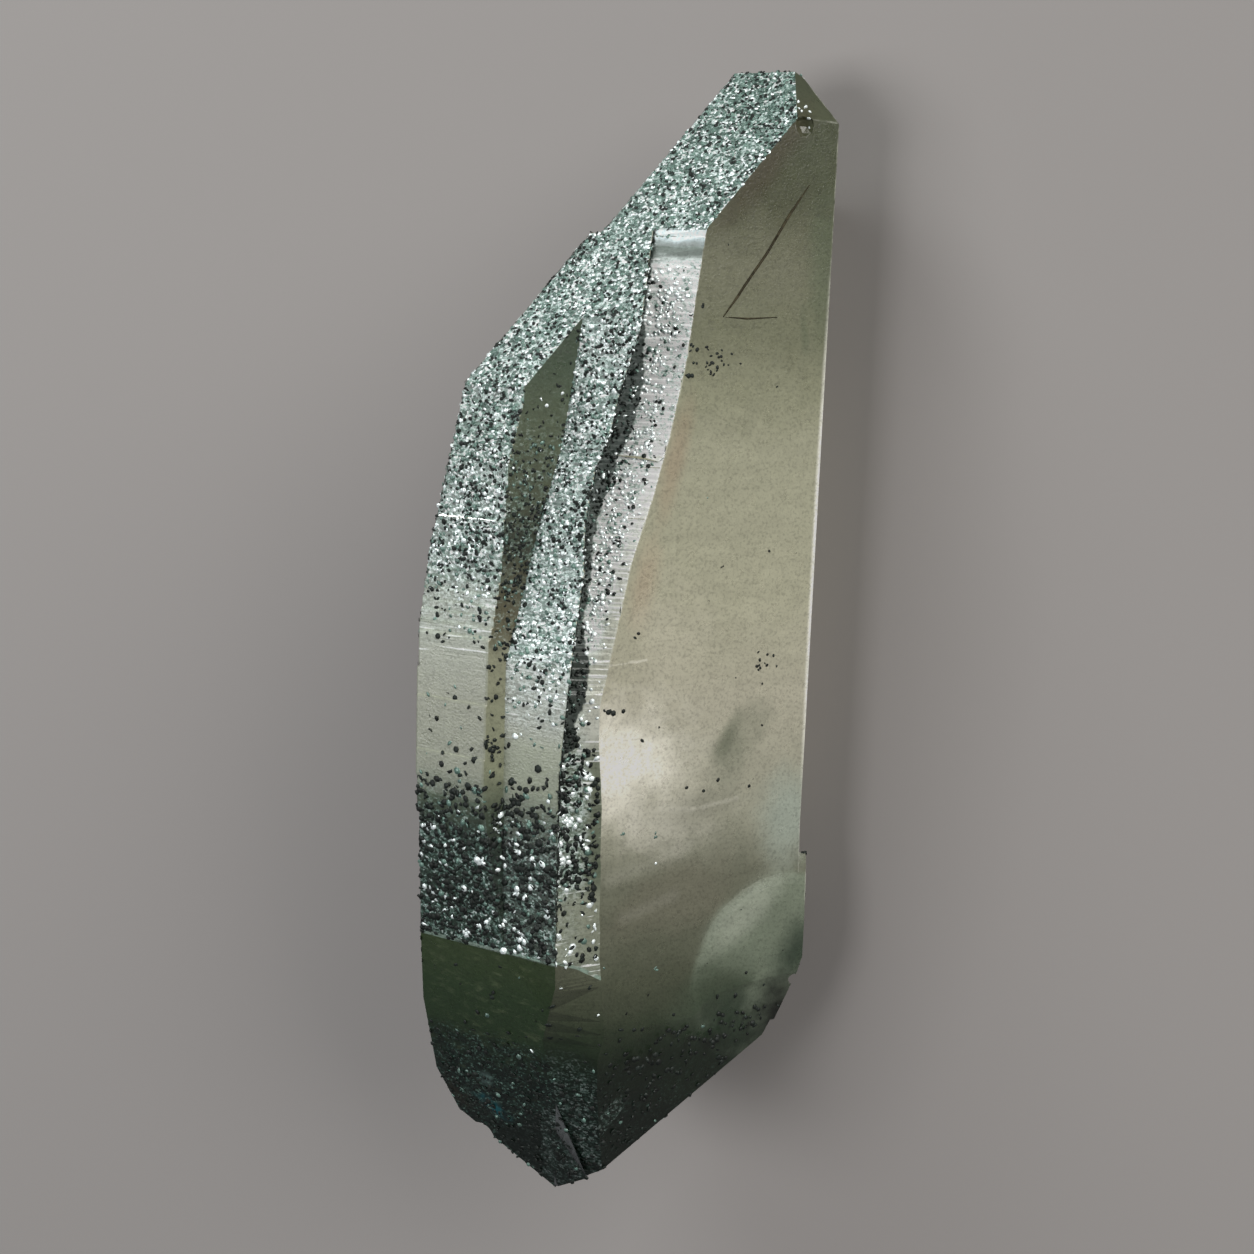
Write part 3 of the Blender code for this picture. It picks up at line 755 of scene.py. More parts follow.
def quartz_material(look):
    """Milky olive quartz, dark green at the base, with painted glints on the growth lines of its stepped
    faces, and painted highlights, reflection and shade.
    """
    material, tree, shader = new_material("quartz")
    where = place_group(tree, crystal_place_group())
    place, face, along = where["Place"], where["On Big Face"], where["Along"]
    number = attribute(tree, "stepped_face")
    worn = attribute(tree, "worn_edge")
    on_steps = maths(tree, "GREATER_THAN", number, 0.5)
    on_right = on_face(tree, number, RIGHT_FACE)
    glitter = fine_chlorite(tree, place, along, number)
    clear = cloudy_tone(tree, place, face, along)

    tone, cover, dust = stepped_tones(tree, place, along, number, clear)
    lines = place_group(tree, growth_lines_group(), Place=place, Cover=cover)
    line_glints = times(tree, times(tree, lines["Mask"], on_steps), LINE_GLINT_STRENGTH)
    # Painted glints: the growth lines on the stepped faces drawn near white.
    tone = blend(tree, line_glints, tone, (*look.growth_line_glint, 1.0))
    in_groove = times(tree, groove_mask(tree, place, along), on_right)
    # Painted shade: the groove beside the wall drawn dark.
    tone = blend(tree, times(tree, in_groove, GROOVE_SHADE_STRENGTH), tone, GROOVE_SHADE_TONE)
    patchy = dust_mask(tree, place, along, dust, on_right, in_groove)

    over_ledge = below_ledge_place(tree, place, along)
    below = times(tree, smooth_step(tree, over_ledge, *LEDGE_UNDERSIDE), on_steps)
    tone = blend(tree, below, tone, base_tone(tree, place, along))
    tone = blend(tree, times(tree, below, on_right), tone, clear)
    base_dust = one_minus(tree, smooth_step(tree, over_ledge, *BASE_DUST_START))
    bare = times(tree, below, one_minus(tree, base_dust))
    tone = blend(tree, times(tree, patchy, one_minus(tree, bare)), tone, glitter["Colour"])
    tone = blend(tree, ledge_rim_highlight(tree, place, over_ledge, on_steps), tone, LEDGE_HIGHLIGHT_TONE)
    # Painted highlight on the worn edges.
    tone = blend(tree, edge_highlight_mask(tree, place, worn, on_steps), tone, EDGE_HIGHLIGHT_TONE)
    feed(tree, shader["Base Color"], surface_tone(tree, place, face, tone))

    smear = times_plus(tree, grain(tree, place, 0.8, 4.0), 0.2, 0.2)
    feed(tree, shader["Roughness"], times_plus(tree, worn, 0.25, smear))
    shader["IOR"].default_value = 1.544
    shader["Transmission Weight"].default_value = TRANSMISSION
    shader["Specular IOR Level"].default_value = 0.3
    combed = times(tree, lines["Height"], times(tree, cover, on_steps))
    relief = times_plus(tree, combed, 2.4, grain(tree, place, 6.0, 3.0))
    relief = times_plus(tree, times(tree, glitter["Height"], patchy), 1.5, relief)
    bump(tree, shader, relief, 0.00004, 0.5)

    absorption = add_node(tree, "ShaderNodeVolumeAbsorption")
    absorption.inputs["Color"].default_value = (*look.depth_tint, 1.0)
    absorption.inputs["Density"].default_value = look.density
    feed(tree, tree.nodes["Material Output"].inputs["Volume"], absorption.outputs["Volume"])
    return material


def select_only(thing):
    """Makes one object the only selected one and the active one."""
    bpy.ops.object.select_all(action="DESELECT")
    thing.select_set(True)
    bpy.context.view_layer.objects.active = thing


def link_object(name, mesh):
    """A new object of a mesh in the scene."""
    thing = bpy.data.objects.new(name, mesh)
    bpy.context.scene.collection.objects.link(thing)
    return thing


def is_worn(edge, narrowest):
    """True for a crisp edge between wide faces that runs along the crystal or bounds its tip."""
    if len(edge.link_faces) != 2 or not edge.is_convex or edge.calc_face_angle(0.0) < SHARPEST_UNWORN:
        return False
    start, end = (corner.co for corner in edge.verts)
    span = (end - start).length
    if min(side.calc_area() for side in edge.link_faces) < narrowest * span:
        return False
    along = (start.y + end.y) / 2 / MM - AXIS_LINE.y
    lengthwise = abs(end.y - start.y) > span / 2
    return along > LAST_LEDGE and (lengthwise or any(side.normal.y > 0.5 for side in edge.link_faces))


def select_worn_edges(mesh, narrowest):
    """Selects the edges of the mesh that is being edited that have worn."""
    bpy.ops.mesh.select_all(action="DESELECT")
    shape = bmesh.from_edit_mesh(mesh)
    for edge in shape.edges:
        if is_worn(edge, narrowest):
            edge.select_set(True)
    shape.select_flush_mode()
    bmesh.update_edit_mesh(mesh)


def mark_faces(mesh, worn_index):
    """Writes on the body what the quartz reads: where it is worn, and which stepped face each part is."""
    worn = mesh.attributes.new("worn_edge", "FLOAT", "CORNER")
    stepped = mesh.attributes.new("stepped_face", "FLOAT", "CORNER")
    centres = np.array([side.center for side in mesh.polygons]) / MM - np.array(AXIS_LINE)
    facing = np.array([side.normal for side in mesh.polygons])
    for side, region in zip(mesh.polygons, regions(centres, facing)):
        for corner in side.loop_indices:
            worn.data[corner].value = float(side.material_index == worn_index)
            stepped.data[corner].value = FACE_OF_REGION.get(region, 0)
        side.material_index = 0


class CRYSTAL_OT_quartz_body(bpy.types.Operator):
    """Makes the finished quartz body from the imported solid, with worn edges and milky quartz"""
    bl_idname = "crystal.quartz_body"
    bl_label = "Quartz body"

    def execute(self, context):
        look = context.scene.quartz_look
        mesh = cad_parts[NODE].data.copy()
        mesh.name = "quartz_body"
        mesh.materials.clear()
        mesh.materials.append(quartz_material(look))
        mesh.materials.append(mesh.materials[0])
        body = link_object("quartz_body", mesh)
        select_only(body)
        bpy.ops.object.mode_set(mode="EDIT")
        bpy.ops.mesh.select_all(action="SELECT")
        bpy.ops.mesh.remove_doubles(threshold=0.002 * MM)
        bpy.ops.mesh.dissolve_limited(angle_limit=math.radians(0.3))
        select_worn_edges(mesh, look.shortest_worn_face)
        bpy.ops.mesh.bevel(offset=look.edge_wear, segments=2, profile=0.5, clamp_overlap=False, material=1)
        bpy.ops.mesh.select_all(action="SELECT")
        bpy.ops.mesh.quads_convert_to_tris()
        bpy.ops.object.mode_set(mode="OBJECT")
        mark_faces(mesh, 1)
        mesh.materials.pop(index=1)
        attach(body, BODY)
        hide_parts(NODE)
        return {"FINISHED"}


def chlorite_material(name, tone, spread, roughness, metallic=0.0, coat=0.0, specular=0.5):
    """A flaky plate whose tone changes from one plate to the next."""
    material, tree, shader = new_material(name)
    group = bpy.data.node_groups.get("flake_tone") or flake_tone_group()
    varied = place_group(tree, group, Colour=(*tone, 1.0), Spread=spread, Least_Roughness=roughness)
    feed(tree, shader["Base Color"], varied["Colour"])
    feed(tree, shader["Roughness"], varied["Roughness"])
    shader["Metallic"].default_value = metallic
    shader["Coat Weight"].default_value = coat
    shader["Specular IOR Level"].default_value = specular
    shader["Coat Roughness"].default_value = 0.12
    shader["IOR"].default_value = 1.62
    bump(tree, shader, varied["Height"], 0.00001, 0.3)
    return material


def plate_shape():
    """The corners and triangles of one bevelled, lopsided six-sided plate of radius 1, lying flat."""
    bpy.ops.object.select_all(action="DESELECT")
    bpy.ops.mesh.primitive_cylinder_add(vertices=6, radius=1.0, depth=0.12, end_fill_type="NGON")
    plate = bpy.context.active_object
    bpy.ops.object.mode_set(mode="EDIT")
    bpy.ops.mesh.select_all(action="DESELECT")
    shape = bmesh.from_edit_mesh(plate.data)
    for side in shape.faces:
        side.select_set(side.normal.z > 0.9)
    bmesh.update_edit_mesh(plate.data)
    bpy.ops.transform.resize(value=(0.86, 0.8, 1.0))
    bpy.ops.transform.translate(value=(0.06, -0.04, 0.02))
    bpy.ops.mesh.select_all(action="SELECT")
    bpy.ops.mesh.quads_convert_to_tris()
    bpy.ops.object.mode_set(mode="OBJECT")
    corners = np.array([corner.co for corner in plate.data.vertices])
    triangles = np.array([side.vertices for side in plate.data.polygons])
    bpy.data.objects.remove(plate, do_unlink=True)
    return corners, triangles


def joined_plates(name, plate, spots, facing, radii, dice):
    """One mesh of many plates: each with its place, the way it faces, its radius and a turn of its own."""
    corners, triangles = plate
    count = len(spots)
    helper = dice.normal(size=(count, 3))
    first = np.cross(facing, helper)
    first /= np.linalg.norm(first, axis=1)[:, None]
    second = np.cross(facing, first)
    squash = dice.uniform(0.45, 1.0, count)
    x, y, z = corners.T
    points = (
        spots[:, None, :]
        + (radii[:, None] * x)[:, :, None] * first[:, None, :]
        + ((radii * squash)[:, None] * y)[:, :, None] * second[:, None, :]
        + (radii[:, None] * z)[:, :, None] * facing[:, None, :]
    )
    sides = (triangles[None] + (np.arange(count) * len(corners))[:, None, None]).reshape(-1, 3)
    mesh = bpy.data.meshes.new(name)
    mesh.vertices.add(points.shape[0] * points.shape[1])
    mesh.vertices.foreach_set("co", ((points.reshape(-1, 3) + np.array(AXIS_LINE)) * MM).ravel())
    mesh.loops.add(sides.size)
    mesh.loops.foreach_set("vertex_index", sides.ravel())
    mesh.polygons.add(len(sides))
    mesh.polygons.foreach_set("loop_start", np.arange(len(sides)) * 3)
    mesh.update(calc_edges=True)
    mesh.validate()
    return link_object(name, mesh)


def body_triangles():
    """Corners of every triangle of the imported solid, in millimetres from the axis line."""
    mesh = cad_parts[NODE].data
    mesh.calc_loop_triangles()
    spots = np.array([corner.co for corner in mesh.vertices]) / MM - np.array(AXIS_LINE)
    return spots[np.array([side.vertices for side in mesh.loop_triangles])]


def scatter(triangles, per_square_mm, dice):
    """Seeded random points over the triangles, with the outward direction at each."""
    cross = np.cross(triangles[:, 1] - triangles[:, 0], triangles[:, 2] - triangles[:, 0])
    areas = np.linalg.norm(cross, axis=1) / 2
    keep = areas > 1e-7
    triangles, cross, areas = triangles[keep], cross[keep], areas[keep]
    count = int(areas.sum() * per_square_mm)
    chosen = dice.choice(len(triangles), count, p=areas / areas.sum())
    a, b = dice.uniform(size=(2, count))
    fold = a + b > 1
    a[fold], b[fold] = 1 - a[fold], 1 - b[fold]
    start, second, third = np.moveaxis(triangles[chosen], 1, 0)
    spots = start + a[:, None] * (second - start) + b[:, None] * (third - start)
    return spots, (cross / (2 * areas[:, None]))[chosen]


def read_steps(steps, along):
    """Value of a list of (millimetres along, value), tip first, at each place."""
    places, values = zip(*reversed(steps))
    return np.interp(along, places, values)


def clumps(spots, size, offset):
    """A smooth random amount for each spot, about -1 to 1, that makes drifts gather and part."""
    return np.array([noise.noise(Vector(spot) / size + Vector((offset, 0.0, 0.0))) for spot in spots]) * 1.8


ON_STEPS = ("left column", "middle column", "right column", "groove", "step wall")
FACE_OF_REGION = {
    "tip face": LEFT_FACE, "left side": LEFT_FACE, "left column": LEFT_FACE, "middle column": MIDDLE_FACE,
    "right column": RIGHT_FACE, "groove": RIGHT_FACE, "step wall": WALL_FACE,
}

# Chlorite by region: plates per square millimetre along the crystal, share of glinting plates along it, share
# of teal plates (the rest is dark), how far the plates gather in clumps, and how far they tilt in degrees.
Drift = namedtuple("Drift", "amount bright teal gather tilt")
DRIFTS = {
    "tip face": Drift(
        [(38, 20), (12, 20)],
        [(38, 0.12), (33, 0.14), (28, 0.3), (22, 0.22), (15, 0.2)], 0.46, 0.3, 9),
    "left column": Drift(
        [(18, 20), (5.0, 18), (3.0, 9.0), (1.6, 4.0), (-0.8, 2.0), (-1.8, 0.1), (-5.0, 0.4), (-9.0, 0.7),
         (-10.8, 2.4), (-12.5, 7.0), (-14.5, 10), (-22.0, 9.5), (-22.8, 6.0), (-23.0, 0.0)],
        [(18, 0.3), (3, 0.28), (0, 0.12), (-9, 0.0), (-15, 0.05), (-22, 0.1)], 0.28, 0.6, 9),
    "middle column": Drift(
        [(27, 20), (-1.4, 17), (-2.8, 7.0), (-5.5, 4.5), (-7.0, 0.8), (-9.5, 0.2), (-10.8, 2.4), (-12.6, 8.0),
         (-14.5, 10), (-22.0, 9.0), (-22.9, 4.0), (-23.0, 0.0)],
        [(27, 0.42), (4, 0.38), (-2, 0.42), (-8, 0.3), (-11, 0.02), (-15, 0.09), (-22, 0.11)], 0.28, 0.6, 9),
    "right column": Drift(
        [(27, 0.1), (24.0, 0.1), (23.4, 14), (19, 14), (2, 12), (-2.2, 6.0), (-3.2, 1.5), (-4.2, 5.0),
         (-6.5, 6.0), (-7.5, 3.0), (-8.5, 8.0), (-10, 11), (-17, 11), (-18.5, 7.0), (-19.8, 2.0), (-21, 1.5),
         (-22, 3.5), (-23.2, 3.5), (-23.8, 0.0)],
        [(27, 0.75), (14, 0.7), (2, 0.6), (-4, 0.75), (-7, 0.7), (-8.5, 0.08), (-11, 0.12), (-14, 0.25),
         (-17, 0.06), (-21, 0.3), (-24, 0.35)], 0.16, 0.6, 11),
    "groove": Drift(
        [(22, 6.0), (17, 14), (2, 14), (-9, 16)],
        [(22, 0.1), (-20, 0.04)], 0.1, 0.4, 16),
    "step wall": Drift(
        [(20, 3.0), (17, 0.8), (14.5, 3.0), (12, 7.0), (9, 10), (5, 13), (1.5, 10), (-1.0, 7.0), (-3.5, 4.5),
         (-9, 3.5), (-12, 3.5), (-14, 11), (-22, 11), (-23, 0.0)],
        [(20, 0.05), (12, 0.06), (6, 0.0), (-12, 0.0), (-15, 0.1), (-22, 0.1)], 0.2, 0.8, 18),
    "base": Drift(
        [(-23.4, 0.12), (-30, 0.3), (-33, 1.6), (-37, 3.2), (-41, 2.0), (-46, 0.6)],
        [(-23, 0.15), (-31, 0.02), (-33, 0.0), (-46, 0.0)], 0.16, 0.8, 12),
    "big face": Drift(
        [(36, 0.02), (19.0, 0.02), (-26.0, 0.03), (-28.0, 0.2), (-31.0, 1.0), (-34.0, 1.8), (-38, 2.0)],
        [(36, 0.0), (-38, 0.0)], 0.05, 1.4, 8),
    "left side": Drift(
        [(30, 9.0), (4, 7.0), (-2, 1.0), (-9, 0.5), (-13, 4.0), (-23, 4.0), (-25, 0.4), (-32, 0.5),
         (-44, 1.0)],
        [(30, 0.3), (-10, 0.05), (-28, 0.0)], 0.3, 0.6, 4),
    "hidden sides": Drift(
        [(36, 3.0), (20, 1.6), (0, 0.5), (-12, 0.5), (-16, 2.0), (-24, 1.8), (-30, 1.0), (-44, 1.5)],
        [(36, 0.3), (-10, 0.1), (-28, 0.0)], 0.2, 1.0, 14),
}

# Low on the crystal fewer plates are teal, and the glinting ones gather in clusters of painted glints.
TEAL_SHARE = [(38.0, 1.0), (-8.0, 1.0), (-11.0, 0.35), (-44.0, 0.35)]
GLINTS_BELOW = -9.0
GLINT_SIZE = 1.5

# The stray plates on the big face are smaller than the others above this place, in millimetres along.
STRAYS_ABOVE = -27.0
STRAY_SIZE = 0.55

# Spots are scattered more densely than any drift, and then thinned to each drift's amount.
SPARE_SPOTS = 1.6

# No plate lies this near to the floor, in millimetres.
FLOOR_GAP = 0.6

# The meshes of the upper and the lower crystal part here, in millimetres along.
UPPER_PLATES_END = -8.0

# The finishes of the three kinds of plate, in the order of the kinds.
FINISHES = (
    dict(spread=0.15, roughness=0.18, metallic=0.3, coat=0.5),
    dict(spread=0.4, roughness=0.3, metallic=0.15, coat=0.2),
    dict(spread=0.6, roughness=0.5, specular=0.25),
)

# The plates low on the crystal are coarser: (millimetres along, growth), tip first.
PLATE_GROWTH = [(38.0, 0.8), (4.0, 0.88), (-6.0, 1.0), (-10.0, 1.4), (-22.0, 1.25), (-30.0, 1.2),
                (-44.0, 1.2)]

# Single plates and small groups that lie in the big face: place across and along, reach, number, radius in
# millimetres, and kind.
KINDS = ("bright", "teal", "dark")
Group = namedtuple("Group", "across along reach count radius kind")
BIG_FACE_GROUPS = [
    Group(6.2, 17.6, (1.3, 0.8), 26, 0.12, "dark"), Group(4.2, 18.5, (0.7, 0.4), 7, 0.16, "dark"),
    Group(4.2, 16.6, (0.3, 0.15), 4, 0.16, "dark"), Group(4.9, 21.4, (0.2, 0.4), 3, 0.12, "dark"),
    Group(11.3, 16.0, (0.05, 0.05), 1, 0.14, "dark"), Group(11.2, -3.7, (0.9, 0.8), 14, 0.12, "dark"),
    Group(0.8, -0.6, (0.25, 0.25), 2, 0.2, "dark"), Group(-1.1, -5.7, (0.7, 0.16), 8, 0.2, "dark"),
    Group(1.5, -8.0, (0.03, 0.03), 1, 0.24, "dark"), Group(5.3, -11.8, (0.04, 0.04), 1, 0.13, "dark"),
    Group(6.7, -12.2, (0.04, 0.04), 1, 0.13, "dark"), Group(8.0, -11.5, (0.12, 0.05), 2, 0.15, "dark"),
    Group(10.6, -12.3, (0.16, 0.2), 3, 0.13, "dark"), Group(0.2, -14.4, (0.25, 0.1), 3, 0.13, "teal"),
    Group(2.9, -15.0, (0.2, 0.3), 4, 0.11, "teal"), Group(3.0, -17.0, (0.03, 0.03), 1, 0.1, "bright"),
    Group(9.0, -22.9, (0.2, 0.15), 2, 0.16, "dark"), Group(3.3, -24.8, (0.2, 0.2), 3, 0.12, "teal"),
    Group(5.3, -29.9, (1.2, 0.4), 8, 0.2, "dark"), Group(2.8, -31.8, (1.4, 0.5), 9, 0.24, "dark"),
    Group(8.4, -31.2, (2.6, 0.6), 14, 0.22, "dark"), Group(11.6, -29.8, (2.6, 0.5), 14, 0.18, "dark"),
    Group(9.6, -28.6, (0.04, 0.04), 1, 0.1, "bright"), Group(12.4, 34.4, (0.5, 0.5), 7, 0.12, "bright"),
]


def regions(spots, facing):
    """The region of each spot, by its place on the crystal and the way its face looks."""
    along = spots[:, 1]
    out_of_big_face = spots @ np.array(BIG_FACE)
    beyond_wall = spots @ np.array(RIGHT_SIDE) + read_steps(SPLIT_WALL, along)
    edge = -read_steps(RIGHT_COLUMN, along) * BIG_FACE.z / BIG_FACE.x
    upward = facing[:, 2]
    past_tip_face = spots @ np.array(TIP_FACE) - TIP_FACE_DISTANCE
    on_tip = (facing @ np.array(TIP_FACE) > 0.97) & (np.abs(past_tip_face) < 0.15)
    toward_big = facing @ np.array(BIG_FACE) > 0.97
    on_right = (upward > 0.4) & (spots[:, 0] < edge + 0.01) & (beyond_wall > -0.02) & ~on_tip
    on_top = (upward > 0.7) & (beyond_wall <= -0.02) & ~on_tip
    names = np.full(len(spots), "hidden sides", dtype=object)
    names[facing[:, 0] < -0.6] = "left side"
    names[(facing[:, 0] > 0.6) | toward_big] = "big face"
    names[on_top] = "middle column"
    names[on_top & (out_of_big_face < STEP_WALL_DISTANCE + 0.02)] = "left column"
    names[on_right] = "right column"
    names[on_right & (beyond_wall < read_steps(GROOVE_WIDTH, along) * RIGHT_SIDE.x)] = "groove"
    near_step_wall = np.abs(out_of_big_face - STEP_WALL_DISTANCE) < 0.3
    names[toward_big & near_step_wall & (beyond_wall < -0.02)] = "step wall"
    names[(facing @ np.array(RIGHT_SIDE) > 0.8) & (np.abs(beyond_wall) < 0.3)] = "groove"
    names[on_tip] = "tip face"
    return names


def under_ledge(spots):
    """True for the spots below the last ledge, which drops a little over the right column."""
    share = np.clip((spots[:, 0] - LEDGE_DROP_START) / LEDGE_DROP_RUN, 0.0, 1.0)
    return spots[:, 1] + LEDGE_DROP * share < LAST_LEDGE - 0.12


def spare_the_edge(spots, names, amount):
    """Thins the plates beside the big face, where the right column shows its bare growth lines."""
    edge = -read_steps(RIGHT_COLUMN, spots[:, 1]) * BIG_FACE.z / BIG_FACE.x
    inward = edge - spots[:, 0]
    on_right = (names == "right column") | (names == "groove")
    amount[on_right & (inward < 0.12)] = 0.0
    upper = on_right & (spots[:, 1] > -8.0)
    amount[upper] *= np.clip((inward[upper] - 0.3) / 1.0, 0.08, 1.0)


def grouped_plates(dice):
    """Places, facings, radii and kinds of the plates that lie in the big face."""
    rows = []
    for group in BIG_FACE_GROUPS:
        reach = np.array(group.reach)
        for _ in range(group.count):
            across, along = np.array((group.across, group.along)) + dice.normal(size=2) * reach * 0.6
            spot = ACROSS_BIG_FACE * across + Vector((0.0, along, 0.0))
            radius = group.radius * dice.uniform(0.7, 1.25)
            rows.append((*spot, *BIG_FACE, radius, KINDS.index(group.kind)))
    table = np.array(rows)
    return table[:, :3], table[:, 3:6], table[:, 6], table[:, 7].astype(int)


def drift_values(spots, names):
    """How many plates lie at each spot, the shares of glinting and teal ones, and their tilt in radians."""
    gather = clumps(spots, 1.1, 3.0)
    amount, bright, teal, tilt = np.zeros((4, len(spots)))
    for name, drift in DRIFTS.items():
        here = names == name
        along = spots[here, 1]
        amount[here] = read_steps(drift.amount, along) * np.clip(1 + drift.gather * gather[here], 0, 1.6)
        bright[here] = read_steps(drift.bright, along)
        teal[here] = drift.teal * read_steps(TEAL_SHARE, along)
        tilt[here] = math.radians(drift.tilt)
    low = (spots[:, 1] < GLINTS_BELOW) & (names != "base")
    bright[low] *= np.clip(1 + 3 * clumps(spots[low], GLINT_SIZE, 9.0), 0.0, 4.0)
    spare_the_edge(spots, names, amount)
    amount[spots[:, 2] < FLOOR_GAP - AXIS_LINE.z] = 0.0
    return amount, bright, teal, tilt


def scattered_plates(look, dice):
    """Places, facings, radii and kinds of the plates that lie in drifts."""
    density = max(value for drift in DRIFTS.values() for _, value in drift.amount) * SPARE_SPOTS
    spots, facing = scatter(body_triangles(), density, dice)
    names = regions(spots, facing)
    names[np.isin(names, ON_STEPS) & under_ledge(spots)] = "base"
    amount, bright, teal, tilt = drift_values(spots, names)
    kept = dice.uniform(size=len(spots)) < amount * look.amount / density
    spots, facing, bright, teal, tilt, names = (
        values[kept] for values in (spots, facing, bright, teal, tilt, names)
    )
    count = len(spots)
    tilted = facing + dice.normal(size=(count, 3)) * tilt[:, None]
    tilted /= np.linalg.norm(tilted, axis=1)[:, None]
    radii = look.smallest / MM + (look.largest - look.smallest) / MM * dice.beta(1.6, 2.2, count)
    radii *= read_steps(PLATE_GROWTH, spots[:, 1])
    radii[(names == "big face") & (spots[:, 1] > STRAYS_ABOVE)] *= STRAY_SIZE
    spots = spots + facing * dice.uniform(-0.03, 0.05, count)[:, None]
    glitter = np.array([noise.noise(Vector(spot) / 1.7) for spot in spots])
    draw = dice.uniform(size=count) - glitter * np.minimum(bright, 0.25)
    kinds = np.where(draw < bright, 0, np.where(draw < bright + teal, 1, 2))
    return spots, tilted, radii, kinds


class CRYSTAL_OT_chlorite(bpy.types.Operator):
    """Scatters the chlorite plates: dense on the tip and the columns, and a dark cloud low down"""
    bl_idname = "crystal.chlorite"
    bl_label = "Chlorite plates"

    def execute(self, context):
        look = context.scene.chlorite_look
        dice = np.random.default_rng(look.seed)
        scattered = scattered_plates(look, dice)
        grouped = grouped_plates(dice)
        spots, tilted, radii, kinds = (np.concatenate(pair) for pair in zip(scattered, grouped))
        plate = plate_shape()
        # The glinting kind is painted glints: near-white plates where the chlorite catches the light.
        for number, (kind, finish) in enumerate(zip(KINDS, FINISHES)):
            material = chlorite_material(f"chlorite_{kind}", getattr(look, kind), **finish)
            upper = spots[kinds == number, 1] > UPPER_PLATES_END
            for part, wanted in (("upper", upper), ("lower", ~upper)):
                chosen = np.flatnonzero(kinds == number)[wanted]
                plates = joined_plates(
                    f"chlorite_{kind}_{part}", plate, spots[chosen], tilted[chosen], radii[chosen], dice
                )
                plates.data.materials.append(material)
                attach(plates, BODY)
        return {"FINISHED"}


# Dark needles in the big face: name, points across and along in millimetres, and radius.
Needle = namedtuple("Needle", "name points radius")
NEEDLES = [
    Needle(
        "long_needle", [(13.1, 29.4), (11.6, 27.4), (9.9, 24.8), (8.2, 22.6), (7.7, 21.9), (6.6, 20.5)], 0.11
    ),
    Needle("short_needle", [(6.8, 20.5), (8.6, 20.45), (11.0, 20.6)], 0.075),
]


def on_big_face(across, along, out):
    """A place on the big face in metres, in the row frame."""
    return (ACROSS_BIG_FACE * across + Vector((0.0, along, 0.0)) + BIG_FACE * out + AXIS_LINE) * MM


def model_needle(needle):
    """A six-sided needle drawn out point by point, with tapered ends."""
    points = [on_big_face(across, along, 0.0) for across, along in needle.points]
    heading = (points[1] - points[0]).normalized()
    turn = heading.to_track_quat("Z", "Y").to_euler()
    bpy.ops.object.select_all(action="DESELECT")
    bpy.ops.mesh.primitive_circle_add(
        vertices=6, radius=needle.radius * MM, fill_type="NGON", location=points[0], rotation=turn
    )
    thing = bpy.context.active_object
    thing.name = needle.name
    bpy.ops.object.transform_apply(location=True, rotation=True, scale=True)
    bpy.ops.object.mode_set(mode="EDIT")
    bpy.ops.mesh.select_all(action="SELECT")
    bpy.ops.transform.resize(value=(0.3, 0.3, 0.3), center_override=points[0])
    for number, (before, after) in enumerate(zip(points, points[1:])):
        bpy.ops.mesh.extrude_region_move(TRANSFORM_OT_translate={"value": after - before})
        size = 3.0 if number == 0 else 0.4 if number == len(points) - 2 else 1.0
        bpy.ops.transform.resize(value=(size,) * 3, center_override=after)
    bpy.ops.mesh.select_all(action="SELECT")
    bpy.ops.mesh.normals_make_consistent(inside=False)
    bpy.ops.object.mode_set(mode="OBJECT")
    return thing


class CRYSTAL_OT_needles(bpy.types.Operator):
    """Models the dark needles that lie in the big face"""
    bl_idname = "crystal.needles"
    bl_label = "Needles"

    def execute(self, context):
        material = chlorite_material("needle", paint(50, 46, 33)[:3], spread=0.5, roughness=0.7, specular=0.1)
        for needle in NEEDLES:
            thing = model_needle(needle)
            thing.data.materials.clear()
            thing.data.materials.append(material)
            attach(thing, BODY)
        return {"FINISHED"}


# The camera, in millimetres in the row frame, and its picture's axes.
CAMERA_PLACE = Vector((57.23, 23.89, 113.06))
CAMERA_RIGHT = Vector((0.871, 0.034, -0.490))
CAMERA_BACK = Vector((0.4761, 0.1891, 0.8588))
CAMERA_LENS = 46.9
FLOOR_WIDTH = 1.6


def aim(thing, place, target):
    """Puts a lamp at a place and points it at its target."""
    thing.location = place
    thing.rotation_euler = (place - target).to_track_quat("Z", "Y").to_euler()


def softbox(name, heading, distance, size, power, tint):
    """A rectangular lamp that shines on the crystal from afar."""
    light = bpy.data.lights.new(name, "AREA")
    light.shape = "RECTANGLE"
    light.size, light.size_y = size
    light.energy = power
    light.color = tint
    lamp = bpy.data.objects.new(name, light)
    bpy.context.scene.collection.objects.link(lamp)
    aim(lamp, heading.normalized() * distance, Vector((0.0, 0.0, 0.01)))
    return lamp


def floor_material(tone):
    """A dull, faintly cloudy floor."""
    material, tree, shader = new_material("floor")
    place = add_node(tree, "ShaderNodeTexCoord").outputs["Object"]
    cloudy = grain(tree, place, 6.0, 3.0)
    feed(tree, shader["Base Color"], blend(tree, cloudy, (*(c * 0.94 for c in tone), 1.0), (*tone, 1.0)))
    shader["Roughness"].default_value = 0.85
    return material


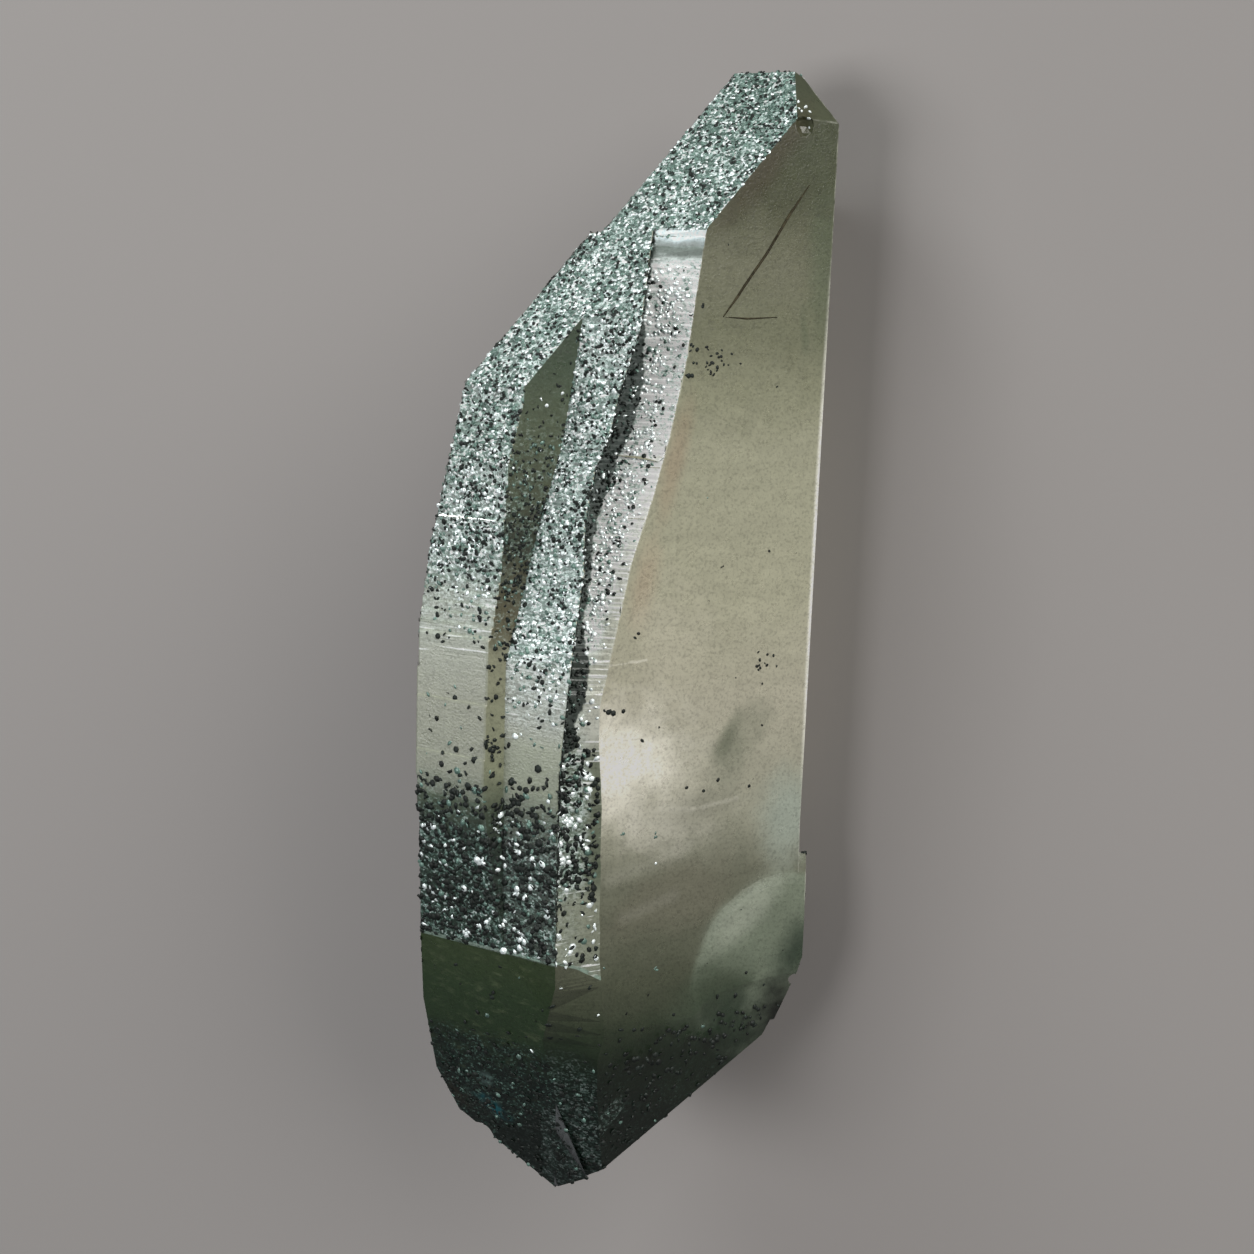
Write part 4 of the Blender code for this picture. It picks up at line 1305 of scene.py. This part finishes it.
class CRYSTAL_OT_studio(bpy.types.Operator):
    """Sets the pale floor, the softboxes, the room light and the camera"""
    bl_idname = "crystal.studio"
    bl_label = "Studio"

    def execute(self, context):
        look = context.scene.studio_look
        bpy.ops.object.select_all(action="DESELECT")
        bpy.ops.mesh.primitive_plane_add(size=FLOOR_WIDTH)
        floor = context.active_object
        floor.name = "floor"
        floor.data.materials.append(floor_material(look.floor))
        softbox("overhead_softbox", Vector((-0.42, -0.02, 0.9)), 0.42, (0.16, 0.28), look.overhead, (1, 1, 1))
        softbox("tip_softbox", Vector((-0.5, 0.75, 0.43)), 0.45, (0.18, 0.18), look.tip, (0.95, 1.0, 1.0))
        softbox("fill_softbox", Vector((0.78, 0.55, 0.31)), 0.7, (0.6, 0.5), look.fill, (1.0, 0.98, 0.94))
        world = bpy.data.worlds.new("room")
        world.use_nodes = True
        world.node_tree.nodes["Background"].inputs["Color"].default_value = (0.92, 0.95, 1.0, 1.0)
        world.node_tree.nodes["Background"].inputs["Strength"].default_value = look.room
        context.scene.world = world
        camera = bpy.data.objects.new("camera", bpy.data.cameras.new("camera"))
        context.scene.collection.objects.link(camera)
        camera.data.lens = CAMERA_LENS
        camera.data.sensor_fit = "HORIZONTAL"
        camera.data.clip_start = 0.005
        upward = CAMERA_BACK.cross(CAMERA_RIGHT).normalized()
        sideways = upward.cross(CAMERA_BACK).normalized()
        turn = Matrix((sideways, upward, CAMERA_BACK.normalized())).transposed()
        camera.matrix_world = Matrix.Translation(CAMERA_PLACE * MM) @ turn.to_4x4()
        context.scene.camera = camera
        context.scene.view_settings.view_transform = "Standard"
        return {"FINISHED"}


class CRYSTAL_PT_panel(bpy.types.Panel):
    bl_idname = "CRYSTAL_PT_panel"
    bl_label = "Phantom quartz crystal"
    bl_space_type = "VIEW_3D"
    bl_region_type = "UI"
    bl_category = "Crystal"

    def draw(self, context):
        scene = context.scene
        for operator, look in (
            (CRYSTAL_OT_quartz_body, scene.quartz_look), (CRYSTAL_OT_chlorite, scene.chlorite_look),
            (CRYSTAL_OT_needles, None), (CRYSTAL_OT_studio, scene.studio_look),
        ):
            box = self.layout.box()
            box.operator(operator.bl_idname)
            if look is not None:
                for name in look.__annotations__:
                    box.prop(look, name)


CLASSES = (
    QuartzLook, ChloriteLook, StudioLook, CRYSTAL_OT_quartz_body, CRYSTAL_OT_chlorite, CRYSTAL_OT_needles,
    CRYSTAL_OT_studio, CRYSTAL_PT_panel,
)


def register():
    """Adds the settings, the operators and the panel."""
    for kind in CLASSES:
        bpy.utils.register_class(kind)
    bpy.types.Scene.quartz_look = bpy.props.PointerProperty(type=QuartzLook)
    bpy.types.Scene.chlorite_look = bpy.props.PointerProperty(type=ChloriteLook)
    bpy.types.Scene.studio_look = bpy.props.PointerProperty(type=StudioLook)


def unregister():
    """Takes them away again."""
    del bpy.types.Scene.quartz_look
    del bpy.types.Scene.chlorite_look
    del bpy.types.Scene.studio_look
    for kind in reversed(CLASSES):
        bpy.utils.unregister_class(kind)


def corners(box):
    """A box's two corners as plain lists."""
    return [list(corner) for corner in box]


def main():
    """Dresses the crystal."""
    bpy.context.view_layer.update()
    register()
    bpy.ops.crystal.studio()
    bpy.ops.crystal.quartz_body()
    bpy.ops.crystal.chlorite()
    bpy.ops.crystal.needles()


if __name__ == "__main__":
    main()
